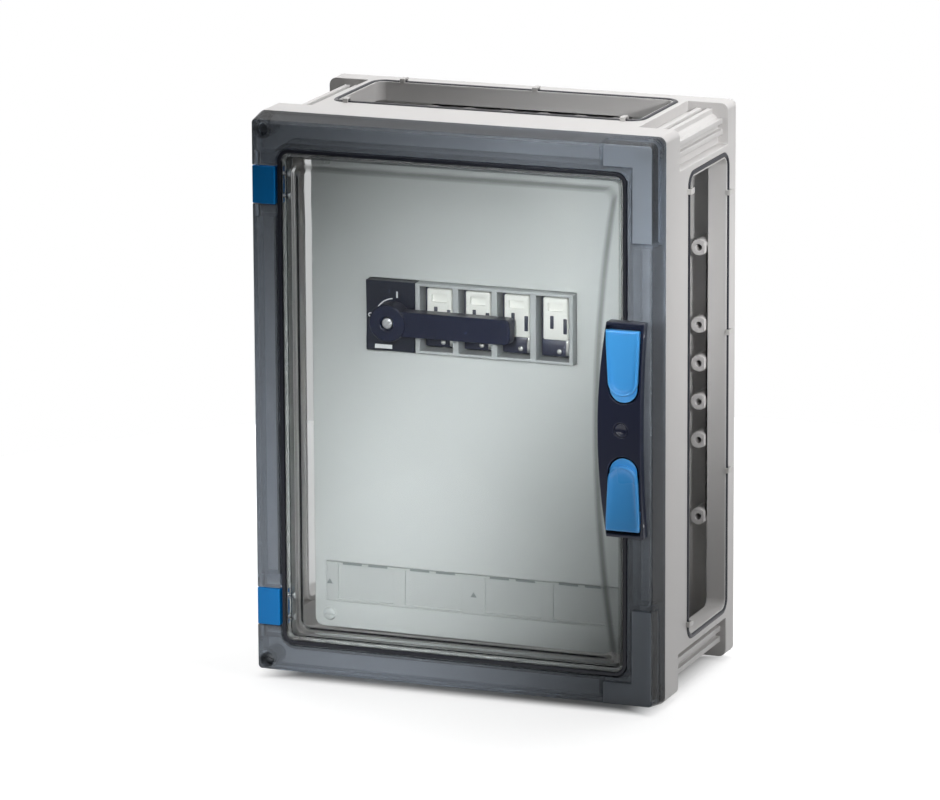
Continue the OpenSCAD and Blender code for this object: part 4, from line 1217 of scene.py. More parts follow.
def coil_tree() -> Tree:
    """Winds a wire round the X axis.

    Returns:
        The tree, with inputs Turns, Radius, Length, Wire and Material.
    """
    tree = Tree("wound_wire", {"Turns": 4.0, "Radius": 0.002, "Length": 0.004, "Wire": 0.0004})
    given = tree.given
    path = {
        "Resolution": 24,
        "Rotations": given["Turns"],
        "Start Radius": given["Radius"],
        "End Radius": given["Radius"],
        "Height": given["Length"],
    }
    helix = tree.step("CurveSpiral", path)
    disc = tree.step("CurvePrimitiveCircle", {"Resolution": 8, "Radius": given["Wire"]})
    sweep = tree.step("CurveToMesh", {"Curve": helix, "Profile Curve": disc, "Fill Caps": True})
    lying = tree.step("Transform", {"Geometry": sweep, "Rotation": (0.0, math.pi / 2, 0.0)})
    return tree.close(tree.step("SetShadeSmooth", {"Geometry": lying}))


# ---------------------------------------------------------------- sub-assemblies


@dataclass
class Workshop:
    """What the sub-assemblies share: the repeating trees and the hand-over of finished pieces."""

    copies: Tree
    bead: Tree
    coil: Tree
    made: int = 0

    def hand_over(self, piece: Piece, body: Body, finish: Finish, *nodes: str) -> None:
        """Dresses a piece, lets it ride on its body and reports it.

        Args:
            piece: The piece, in place.
            body: The body that it rides on.
            finish: Its finish.
            *nodes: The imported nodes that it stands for.
        """
        piece.data.materials.clear()
        piece.data.materials.append(finish.material())
        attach(piece, body.value)
        if nodes:
            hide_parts(*nodes)
        self.made += 1
        LOG.info("%s rides on %s for %s", piece.name, body.value, ", ".join(nodes) or "detail")

    def soften(
        self,
        body: Body,
        node: str,
        finish: Finish,
        width: float,
        segments: int = 2,
        weight: Weight | None = None,
    ) -> None:
        """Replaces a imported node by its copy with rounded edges.

        Args:
            body: The body that it rides on.
            node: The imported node.
            finish: The copy's finish.
            width: Width of the rounding.
            segments: Steps across the rounding.
            weight: Share of the width for each edge, or None.
        """
        self.hand_over(softened(node, f"{node}_rounded", width, segments, weight), body, finish, node)

    def spread(
        self,
        name: str,
        pattern: Piece,
        points: Sequence[Vector],
        body: Body,
        finish: Finish,
        *nodes: str,
        angles: Sequence[float] = (),
    ) -> None:
        """Copies a pattern piece to points and hands the set over.

        Args:
            name: The set's name.
            pattern: The pattern at the origin, which is used up.
            points: Places.
            body: The body that the set rides on.
            finish: The set's finish.
            *nodes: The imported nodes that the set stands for.
            angles: For each place its turn about Y in degrees, or none.
        """
        turns = [Vector((0, math.radians(a), 0)) for a in angles]
        piece = self.copies.make(name, finish, {"Pattern": pattern, "Size": 1.0}, points, turns)
        bpy.data.objects.remove(pattern)
        self.hand_over(piece, body, finish, *nodes)

    def screws(
        self, name: str, node: str, body: Body, finish: Finish, slot: Point, shank: float, angles: Sequence[float]
    ) -> None:
        """Sets a slotted screw in place of each packed one.

        Args:
            name: The set's name.
            node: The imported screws.
            body: The body that they ride on.
            finish: Their finish.
            slot: Width and depth of the slot.
            shank: Shank diameter as a share of the head's.
            angles: For each screw how far its slot is turned, in degrees.
        """
        boxes = islands(node)
        pattern = screw_pattern(boxes[0], *slot, shank)
        self.spread(name, pattern, [middle(box) for box in boxes], body, finish, node, angles=angles)


@dataclass
class Housing:
    """The grey housing with its wall gaskets and their clips."""

    rounding: float = 0.0005
    rim_rounding: float = 0.0003
    bead_width: float = 0.003
    bead_corner: float = 0.0085
    bead_fill: float = 0.98
    clip_thickness: float = 0.0009

    def build(self, shop: Workshop) -> None:
        """Builds the housing's pieces."""
        shop.soften(Body.ENCLOSURE, "housing", HOUSING_GREY, self.rounding)
        self.gaskets(shop)
        self.clips(shop)
        shop.soften(Body.ENCLOSURE, "rim_seal", SEAL_BLACK, self.rim_rounding)

    def gaskets(self, shop: Workshop) -> None:
        """Sweeps one round-backed bead along each wall opening."""
        for side in ("left", "right", "top", "bottom"):
            node = f"wall_seal_{side}"
            low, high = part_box(node)
            size = high - low
            upright = side in ("left", "right")
            values = {
                "Width": size.y - self.bead_width,
                "Height": (size.z if upright else size.x) - self.bead_width,
                "Radius": self.bead_corner,
                "Bead Width": self.bead_width * self.bead_fill,
                "Bead Height": min(size.x, size.z) * self.bead_fill,
            }
            piece = shop.bead.make(f"gasket_{side}", SEAL_BLACK, values)
            turn = Matrix(((0, 0, 1), (1, 0, 0), (0, 1, 0)) if upright else ((0, 1, 0), (1, 0, 0), (0, 0, 1)))
            piece.data.transform(Matrix.Translation(middle((low, high))) @ turn.to_4x4())
            if turn.determinant() < 0:
                piece.data.flip_normals()
            shop.hand_over(piece, Body.ENCLOSURE, SEAL_BLACK, node)

    def clips(self, shop: Workshop) -> None:
        """Sets one wire-thin bridge clip over the gasket wherever the frame has one."""
        groups: dict[str, list[tuple[Vector, Vector]]] = {"side": [], "end": []}
        extent: dict[str, Vector] = {}
        for box in islands("seal_clips"):
            centre, size = middle(box), box[1] - box[0]
            key = "side" if abs(centre.x) > abs(centre.z) * 0.7 and size.z < size.y else "end"
            extent[key] = size
            inward = centre.x < 0 if key == "side" else centre.z < 0
            flip = Vector((0, 0, math.pi)) if key == "side" else Vector((0, math.pi, 0))
            groups[key].append((centre, flip if inward else Vector((0, 0, 0))))
        parts = []
        for key, places in groups.items():
            pattern = self.clip(key, extent[key])
            values = {"Pattern": pattern, "Size": 1.0}
            parts.append(shop.copies.make(f"clips_{key}", CLIP_GREY, values, *zip(*places)))
            bpy.data.objects.remove(pattern)
        shop.hand_over(joined("gasket_clips", parts), Body.ENCLOSURE, CLIP_GREY, "seal_clips")

    def clip(self, key: str, size: Vector) -> Piece:
        """One clip: two feet and a bridge that clears the gasket.

        Args:
            key: "side" for a clip that faces X, "end" for one that faces Z.
            size: The clip's box.

        Returns:
            The pattern at the origin.
        """
        out, wide = (size.x, size.z) if key == "side" else (size.z, size.x)
        end, top, t = size.y / 2, out / 2, self.clip_thickness
        half = [(end, -top), (end, top - 0.4 * t), (end - 0.6 * t, top)]
        inner = [(end - 1.6 * t, top - t), (end - 1.6 * t, -top)]
        outline = [(-x, y) for x, y in half] + half[::-1]
        outline += inner[::-1] + [(-x, y) for x, y in inner]
        rings = [[(outward, along, side) for along, outward in outline] for side in (-wide / 2, wide / 2)]
        return skin("clip_pattern", rings if key == "side" else [[p[::-1] for p in ring] for ring in rings])


@dataclass
class FrontFrame:
    """The smoke-tinted front frame with its two corner caps and corner screws."""

    rounding: float = 0.0005
    outer_rounding: float = 0.0018
    draft: float = 0.0028
    corner: float = 0.0022
    slot: Point = (0.0008, 0.0012)
    front_band: float = 0.0002
    rim_band: float = 0.0004

    def build(self, shop: Workshop) -> None:
        """Builds the frame's pieces."""
        low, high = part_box("front_frame")
        half_x, half_z = high.x - self.draft - self.corner, high.z - self.draft - self.corner

        def inward(v: Vector) -> float:
            """Distance inwards from the frame's rounded front outline."""
            x, z = abs(v.x) - half_x, abs(v.z) - half_z
            return self.corner - (math.hypot(x, z) if x > 0 and z > 0 else max(x, z))

        def outer(a: Vector, b: Vector) -> float:
            """Rounds the front outline more than the rest."""
            rim = all(v.y < low.y + self.front_band and inward(v) < self.rim_band for v in (a, b))
            return 1.0 if rim else self.rounding / self.outer_rounding

        for node, finish in (
            ("front_frame", SMOKE_TINT),
            ("corner_cap_upper", CAP_TINT),
            ("corner_cap_lower", CAP_TINT),
        ):
            shop.soften(Body.ENCLOSURE, node, finish, self.outer_rounding, 3, outer)
        angles = (20, -35, 50, 5)
        shop.screws("frame_screws_set", "frame_screws", Body.ENCLOSURE, BLACKENED, self.slot, 0.5, angles)


@dataclass
class Door:
    """The clear door: a domed pane with a waisted plateau, its skirt and its seal."""

    rise: float = 0.003
    left: float = 0.009
    ends: float = 0.007
    waist: float = 0.016
    right: float = 0.0035
    corner: float = 0.0055
    plateau_corner: float = 0.006
    thickness: float = 0.003
    skirt: float = 0.0025
    slope: float = 0.0045
    seal_rounding: float = 0.0006
    steps: int = 10
    along: int = 28
    climb: int = 9

    def build(self, shop: Workshop) -> None:
        """Builds the door's pieces."""
        shop.hand_over(self.pane(), Body.DOOR, DOOR_TINT, "door_pane")
        shop.soften(Body.DOOR, "door_seal", SEAL_BLACK, self.seal_rounding, 3)

    def plateau(self, box: Box, inset: float) -> Loop:
        """The plateau's outline.

        Args:
            box: The pane's box.
            inset: Distance inwards from the outline.

        Returns:
            The outline, with as many points as the pane's own.
        """
        low, high = box
        left, right = low.x + self.left + inset, high.x - self.right - inset
        tall = high.z - self.ends
        middle_x = (low.x + high.x) / 2
        out = []
        for x, z in rounded_loop(
            left, right, low.z + self.ends + inset, tall - inset, self.plateau_corner, self.steps, self.along
        ):
            bend = (self.waist - self.right) * max(0.0, 1 - (z / tall) ** 2)
            share = max(0.0, (x - middle_x) / (right - middle_x))
            out.append((x - bend * share**3, z))
        return out

    def climbing(self, box: Box, inset: float, level: float) -> list[Ring]:
        """Rings that climb softly from the pane to the plateau.

        Args:
            box: The pane's box.
            inset: Distance inwards from the outer plateau.
            level: Depth at the plateau's foot.

        Returns:
            The rings.
        """
        rings = []
        for share in (k / self.climb for k in range(self.climb + 1)):
            lift = self.rise * (3 * share**2 - 2 * share**3)
            rings.append((self.plateau(box, inset + self.slope * (share - 0.5)), level + lift))
        return rings

    def pane(self) -> Piece:
        """Builds the pane.

        Returns:
            The closed pane with its skirt.
        """
        box = low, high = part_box("door_pane")
        face, skirt_back = -low.y - self.rise, -high.y
        back = face - self.thickness

        def edge(inset: float, tighter: float, depth: float) -> Ring:
            """The pane's own outline, drawn in, with a tighter corner."""
            sides = (low.x + inset, high.x - inset, low.z + inset, high.z - inset)
            return rounded_loop(*sides, self.corner - tighter, self.steps, self.along), depth

        outer = [
            edge(self.skirt, self.skirt, skirt_back),
            edge(0.0003, 0.0, skirt_back),
            edge(0.0, 0.0, skirt_back + 0.0004),
            edge(0.0, 0.0, face - 0.0012),
            edge(0.00035, 0.0003, face - 0.0004),
            edge(0.0012, 0.001, face),
            *self.climbing(box, 0.0, face),
        ]
        inner = [
            edge(self.skirt, self.skirt, back - 0.001),
            edge(self.skirt + 0.001, self.skirt, back),
            *self.climbing(box, self.thickness * 0.7, back),
        ]
        front, last = len(outer) - 1, len(outer) + len(inner) - 1
        links = [(k, k + 1) for k in range(front)] + [(0, front + 1)]
        links += [(k, k + 1) for k in range(front + 1, last)]
        rings = [stood(ring) for ring in outer + inner]
        return shade(skin("door_pane_clear", rings, links, (front, last)), 30)


@dataclass
class Hinges:
    """The two blue hinge leaves with their pins and screws."""

    leaf_rounding: float = 0.0006
    pin_rounding: float = 0.0003
    screw_rounding: float = 0.0002

    def build(self, shop: Workshop) -> None:
        """Builds the hinges' pieces."""
        for end in ("upper", "lower"):
            shop.soften(Body.DOOR, f"hinge_leaf_{end}", HINGE_BLUE, self.leaf_rounding, 3)
            shop.soften(Body.ENCLOSURE, f"hinge_pin_{end}", ZINC, self.pin_rounding)
        shop.soften(Body.DOOR, "leaf_screws", ZINC, self.screw_rounding)


@dataclass
class HandlePlate:
    """The navy handle plate with its two blue latches, their pins and springs, and the lock."""

    rounding: float = 0.0007
    pin_rounding: float = 0.0003
    screw_rounding: float = 0.0002
    width: float = 0.0217
    depth: float = 0.0037
    tail: float = 0.0034
    rim: float = 0.0015
    dish: float = 0.0017
    lip: float = 0.0048
    lip_drop: float = 0.0023
    tip_draw: float = 0.0012
    barrel: float = 0.003
    claw_place: float = 0.0139
    claw_width: float = 0.006
    claw_nose: float = 0.0045
    claw_rounding: float = 0.0004
    floor_start: float = 0.006
    floor_margins: float = 0.012
    floor_least: float = 0.15
    wire: float = 0.00045
    coils: float = 4.5

    def build(self, shop: Workshop) -> None:
        """Builds the plate's pieces."""
        shop.soften(Body.DOOR, "handle_plate", PLATE_NAVY, self.rounding, 3)
        shop.soften(Body.DOOR, "plate_screws", ZINC, self.screw_rounding)
        shop.hand_over(self.lock(), Body.DOOR, PLATE_NAVY, "lock_plug")
        for end, body in (("upper", Body.LATCH_UPPER), ("lower", Body.LATCH_LOWER)):
            shop.hand_over(self.paddle(end), body, LATCH_BLUE, f"latch_paddle_{end}")
            shop.soften(Body.DOOR, f"latch_pin_{end}", ZINC, self.pin_rounding)
            self.spring(shop, end)

    def lock(self) -> Piece:
        """The round plug between the latches, dished and ringed.

        Returns:
            The plug.
        """
        low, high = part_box("lock_plug")
        r, deep = (high.x - low.x) / 2, high.y - low.y
        profile = [
            (TINY, 0.0011),
            (r * 0.3, 0.00105),
            (r * 0.6, 0.0007),
            (r * 0.74, 0.0002),
            (r * 0.8, 0.0),
            (r * 0.94, 0.0),
            (r, 0.0003),
            (r, deep),
            (TINY, deep),
        ]
        centre = middle((low, high))
        return shade(turned("lock_plug_dished", profile, (centre.x, low.y, centre.z), Axis.Y, 40), 50)

    def paddle_loop(self, inset: float, shorter: float, left: float, tail: float, tip: float) -> Loop:
        """A paddle's outline with its round tip towards lower Z.

        Args:
            inset: Distance inwards.
            shorter: How much shorter the tip is.
            left: Left side.
            tail: Height of the square end.
            tip: Height of the round tip.

        Returns:
            The outline.
        """
        round_steps, long_steps, top_steps, corner_steps, corner_run = 28, 14, 8, 4, 0.008
        half = self.width / 2 - inset
        x0, x1, top = left + inset, left + self.width - inset, tail - inset
        r = half - self.tip_draw
        low = tip + shorter + inset * 0.9 + r
        arc = [math.pi * k / round_steps for k in range(round_steps + 1)]
        loop = [(left + self.width / 2 + r * math.cos(a), low - r * math.sin(a)) for a in arc]
        for corner, count in (
            ((x0, top - corner_run), long_steps),
            ((x0, top), corner_steps),
            ((x1, top), top_steps),
            ((x1, top - corner_run), corner_steps),
        ):
            loop += [*between(loop[-1], corner, count), corner]
        return loop + between(loop[-1], loop[0], long_steps)

    def paddle(self, end: str) -> Piece:
        """One latch: a dished thumb pad with a raised rim, a lower lip at its tip, and its claw.

        Args:
            end: "upper" or "lower".

        Returns:
            The latch.
        """
        low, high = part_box(f"latch_paddle_{end}")
        pin = middle(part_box(f"latch_pin_{end}"))
        pin_z = abs(pin.z)
        tail, tip = pin_z + self.tail, min(abs(low.z), abs(high.z))
        front, left = -low.y, low.x
        back = front - self.depth

        def floor(share_down: float) -> Callable[[Point], float]:
            """A rule for the depth of the pad's floor, which sinks towards the tip."""

            def depth(point: Point) -> float:
                """The depth at a point."""
                run = (tail - self.floor_start - point[1]) / (tail - tip - self.floor_margins)
                bend = math.sin(min(1.0, max(0.0, run)) * math.pi / 2)
                return front - share_down * self.dish * (self.floor_least + (1 - self.floor_least) * bend)

            return depth

        def built(name: str, rows: Iterable[tuple[float, float, object]]) -> Piece:
            """A skin through the paddle's outline at each row's inset, shortening and depth."""
            sides = (left, tail, tip)
            return skin(name, [stood((self.paddle_loop(*drawn, *sides), depth)) for *drawn, depth in rows])

        rim, step = self.rim, front - self.lip_drop
        pad_rows = (
            (0.0006, back),
            (0.0, back + 0.0006),
            (0.0, front - 0.0009),
            (0.0003, front - 0.0003),
            (0.0009, front),
            (rim, front),
            (rim + 0.0005, floor(0.35)),
            (rim + 0.0012, floor(0.8)),
            (rim + 0.0024, floor(1.0)),
            (rim + 0.0048, floor(0.98)),
            (rim + 0.0078, floor(0.9)),
        )
        lip_rows = (
            (0.0018, 0.0, back),
            (0.0008, 0.0, back + 0.0002),
            (0.0006, 0.0, step - 0.0008),
            (0.0009, 0.0, step - 0.0002),
            (0.0016, 0.0, step),
            (0.004, 0.004, step),
        )
        pad = built("pad", [(inset, self.lip, depth) for inset, depth in pad_rows])
        lip = built("lip", lip_rows)
        r, long = self.barrel, self.width - 0.0008
        profile = [(TINY, 0), (r - 0.0002, 0), (r, 0.0003), (r, long - 0.0003), (TINY, long)]
        barrel = turned("barrel", profile, (left + 0.0004, pin.y, pin_z), Axis.X)
        near, far, foot = left + self.claw_place, left + self.claw_place + self.claw_width, pin_z - 0.006
        hook, claw = (
            slab(name, (near, start, foot), (far, high.y, top), self.claw_rounding)
            for name, start, top in (
                ("hook", low.y + 0.004, pin_z + 0.0008),
                ("claw", high.y - 0.0034, pin_z + self.claw_nose),
            )
        )
        piece = joined(f"latch_{end}_sculpted", [pad, lip, barrel, hook, claw])
        if end == "lower":
            piece.data.transform(Matrix.Diagonal((1, 1, -1, 1)))
            piece.data.flip_normals()
        return shade(piece, 50)

    def spring(self, shop: Workshop, end: str) -> None:
        """Winds the torsion spring round the latch pin.

        Args:
            shop: The workshop.
            end: "upper" or "lower".
        """
        node = f"latch_spring_{end}"
        low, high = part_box(node)
        pin = middle(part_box(f"latch_pin_{end}"))
        wire = self.wire
        radius = pin.y - low.y - wire
        values = {"Turns": self.coils, "Radius": radius, "Length": high.x - low.x - 2 * wire, "Wire": wire}
        coil = shop.coil.make(f"spring_{end}", SPRING_STEEL, values)
        coil.data.transform(Matrix.Translation((low.x + wire, pin.y, pin.z)))
        reach = low.z if end == "upper" else high.z
        profile = [(TINY, 0), (wire, 0), (wire, pin.z - reach), (TINY, pin.z - reach)]
        legs = [
            shade(turned("leg", profile, (x, y, reach), Axis.Z, 8))
            for x, y in ((low.x + wire, pin.y + radius), (high.x - wire, pin.y - radius))
        ]
        shop.hand_over(joined(f"spring_{end}_wound", [coil, *legs]), Body.DOOR, SPRING_STEEL, node)


@dataclass
class InnerCover:
    """The grey cover behind the door, its screws, and the blanking strip with its label frames."""

    rounding: float = 0.0005
    strip_rounding: float = 0.0003
    slot: Point = (0.0013, 0.0013)
    shank: float = 0.36
    windows: Sequence[float] = (-0.073, -0.027, 0.027, 0.073)
    dash: Point = (0.013, 0.0014)
    dash_offsets: Point = (-0.009, 0.0085)
    dash_lift: float = 0.0122
    mark: Point = (0.0042, 0.00336)
    mark_places: Point = (-0.0976, 0.0005)

    def build(self, shop: Workshop) -> None:
        """Builds the cover's pieces."""
        shop.soften(Body.ENCLOSURE, "device_cover", COVER_GREY, self.rounding, 3)
        shop.soften(Body.ENCLOSURE, "blanking_strip", STRIP_GREY, self.strip_rounding)
        angles = (10, 75, -30, 45)
        shop.screws(
            "cover_screws_set", "cover_screws", Body.ENCLOSURE, COVER_GREY, self.slot, self.shank, angles
        )
        self.marks(shop)

    def marks(self, shop: Workshop) -> None:
        """Prints two short dashes over each label frame and two plain pointers."""
        low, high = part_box("blanking_strip")
        front, mid_z = low.y - PRINT, (low.z + high.z) / 2
        half, thin = self.dash[0] / 2, self.dash[1] / 2
        dash = slab("dash", (-half, -PRINT, -thin), (half, PRINT, thin))
        points = [
            Vector((window + offset, front, mid_z + self.dash_lift))
            for window in self.windows
            for offset in self.dash_offsets
        ]
        shop.spread("strip_dashes", dash, points, Body.ENCLOSURE, MARK_GREY)
        half, tall = self.mark[0] / 2, self.mark[1] / 2
        arrow = skin("arrow", [[(-half, y, -tall), (half, y, -tall), (0, y, tall)] for y in (-PRINT, PRINT)])
        places = [Vector((x, front, mid_z)) for x in self.mark_places]
        shop.spread("strip_pointers", arrow, places, Body.ENCLOSURE, MARK_GREY)


@dataclass
class RotarySwitch:
    """The fused rotary switch: base, mechanism with its lever, and the row of fuse bays."""

    rounding: float = 0.0004
    bay_rounding: float = 0.0006
    lever_rounding: float = 0.0011
    metal_rounding: float = 0.0002
    shaft_rounding: float = 0.0003
    slot: Point = (0.0009, 0.0011)
    slant: float = -28.0
    print_lift: float = 0.00012
    bar: float = 0.0007
    arc_radius: float = 0.0132
    off_radius: float = 0.0011
    arc_span: Point = (96.0, 147.0)
    on_place: Point = (0.0017, 0.0158)
    on_size: Point = (0.001, 0.004)
    off_place: Point = (-0.0165, 0.0017)
    label_place: Point = (-0.0077, -0.0181)
    label_size: Point = (0.0114, 0.0026)
    fuse_split: float = 0.42

    def build(self, shop: Workshop) -> None:
        """Builds the switch's pieces."""
        shop.soften(Body.ENCLOSURE, "switch_base", BASE_GREY, self.rounding)
        shop.soften(Body.ENCLOSURE, "mechanism_case", SWITCH_BLACK, self.rounding, 3)
        shop.soften(Body.ENCLOSURE, "bay_frame", BAY_GREY, self.bay_rounding, 3)
        self.fuses(shop)
        for node, finish in (
            ("fuse_blades", SILVERED),
            ("fuse_jaws", SILVERED),
            ("line_terminals", ZINC),
            ("load_terminals", ZINC),
            ("line_terminal_screws", SPRING_STEEL),
            ("load_terminal_screws", SPRING_STEEL),
            ("positive_busbar", COPPER),
            ("negative_busbar", COPPER),
            ("contact_decks", DECK_RED),
            ("fixed_contacts", SILVERED),
        ):
            shop.soften(Body.ENCLOSURE, node, finish, self.metal_rounding)
        shop.soften(Body.HANDLE, "rotor_contacts", SILVERED, self.metal_rounding)
        shop.soften(Body.HANDLE, "switch_shaft", ZINC, self.shaft_rounding)
        shop.soften(Body.HANDLE, "handle_lever", SWITCH_NAVY, self.lever_rounding, 4)
        shop.screws("handle_screw_slotted", "handle_screw", Body.HANDLE, ZINC, self.slot, 0.5, (self.slant,))
        self.prints(shop)

    def fuses(self, shop: Workshop) -> None:
        """Sets a white fuse body with its dark carrier, painted shade for the two slots in its face, and its lugs
        in each bay.
        """
        boxes = islands("fuse_bodies")
        end_x, back, end_z = (boxes[0][1] - boxes[0][0]) / 2
        front = -back
        split = -end_z * self.fuse_split
        body = slab("body", (-end_x + 0.0022, front, split), (end_x - 0.0012, back, end_z), 0.0012, 4)
        waist = (-end_x + 0.0055, front - 0.001, 0.0102), (end_x - 0.0042, front + 0.0022, end_z - 0.0035)
        cut(body, slab("waist", *waist, 0.0006))
        # painted shade: dark patches on the body's face stand for the shade in its two slots
        painted_slot_shades = [
            slab("slot", (x - wide, front - 0.0003, z - tall), (x + wide, front + 0.001, z + tall), 0.0006)
            for x, z, wide, tall in ((-0.0018, 0.0033, 0.0013, 0.0043), (end_x - 0.0031, 0.0012, 0.0013, 0.005))
        ]
        carrier = slab("carrier", (-end_x, front + 0.0035, -end_z), (end_x, back, split + 0.0004), 0.0008)
        rail = slab("rail", (-end_x, front + 0.004, split), (-end_x + 0.0021, back, end_z), 0.0004)
        profile = [(TINY, 0), (0.0012, 0), (0.0016, 0.0004), (0.0016, 0.0026), (TINY, 0.0026)]
        lug = turned("lug", profile, (0.0026, front + 0.001, -end_z + 0.0036), Axis.Y)
        strap_low = (end_x - 0.0034, front + 0.0016, -end_z + 0.0012)
        strap = slab("strap", strap_low, (end_x - 0.001, front + 0.0036, split + 0.001), 0.0005)
        points = [middle(box) for box in boxes]
        for name, parts, finish, *nodes in (
            ("fuse_body_set", [body], CERAMIC, "fuse_bodies"),
            ("fuse_carrier_set", [carrier, rail, *painted_slot_shades], CARRIER_DARK_AND_SLOT_SHADE),
            ("fuse_lug_set", [lug, strap], SILVERED),
        ):
            pattern = shade(joined(f"{name}_pattern", parts), 40)
            shop.spread(name, pattern, points, Body.ENCLOSURE, finish, *nodes)

    def prints(self, shop: Workshop) -> None:
        """Prints the travel arc, the on and off marks and a blank label on the mechanism."""
        hub = middle(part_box("handle_screw"))
        hub.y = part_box("mechanism_case")[0].y - self.print_lift
        marks = [
            self.ribbon("travel_arc", hub, (0.0, 0.0), self.arc_radius, self.arc_span),
            self.plate("on", hub, self.on_place, self.on_size),
            self.ribbon("off", hub, self.off_place, self.off_radius, (0.0, 360.0)),
            self.plate("label", hub, self.label_place, self.label_size),
        ]
        shop.hand_over(joined("switch_marks", marks), Body.ENCLOSURE, MARK_WHITE)

    def plate(self, name: str, hub: Vector, place: Point, size: Point) -> Piece:
        """A printed rectangle at a place seen from the hub, of some width and height."""
        centre, half = hub + Vector((place[0], 0, place[1])), Vector((size[0] / 2, PRINT, size[1] / 2))
        return slab(name, centre - half, centre + half)

    def ribbon(self, name: str, hub: Vector, place: Point, radius: float, span: Point) -> Piece:
        """A thin printed arc in the XZ plane.

        Args:
            name: The piece's name.
            hub: The lever's hub.
            place: The arc's centre, seen from the hub.
            radius: Mean radius.
            span: First and last angle in degrees from +X.

        Returns:
            The print.
        """
        steps = 24
        x, y, z = hub + Vector((place[0], 0, place[1]))
        start, end = span
        inner, outer = radius - self.bar / 2, radius + self.bar / 2
        section = ((inner, y - PRINT), (outer, y - PRINT), (outer, y + PRINT), (inner, y + PRINT))
        angles = [math.radians(start + (end - start) * k / steps) for k in range(steps + 1)]
        return skin(
            name, [[(x + r * math.cos(a), depth, z + r * math.sin(a)) for r, depth in section] for a in angles]
        )


@dataclass
class RailAndEarth:
    """The mounting rail and the earth bar with their screws."""

    rail_rounding: float = 0.0003
    bar_rounding: float = 0.0004
    screw_rounding: float = 0.0002

    def build(self, shop: Workshop) -> None:
        """Builds the pieces."""
        shop.soften(Body.ENCLOSURE, "mounting_rail", ZINC, self.rail_rounding)
        shop.soften(Body.ENCLOSURE, "rail_screws", ZINC, self.screw_rounding)
        shop.soften(Body.ENCLOSURE, "earth_bar", BRASS, self.bar_rounding, 3)
        shop.soften(Body.ENCLOSURE, "earth_bar_screws", ZINC, self.screw_rounding)


# ---------------------------------------------------------------- studio


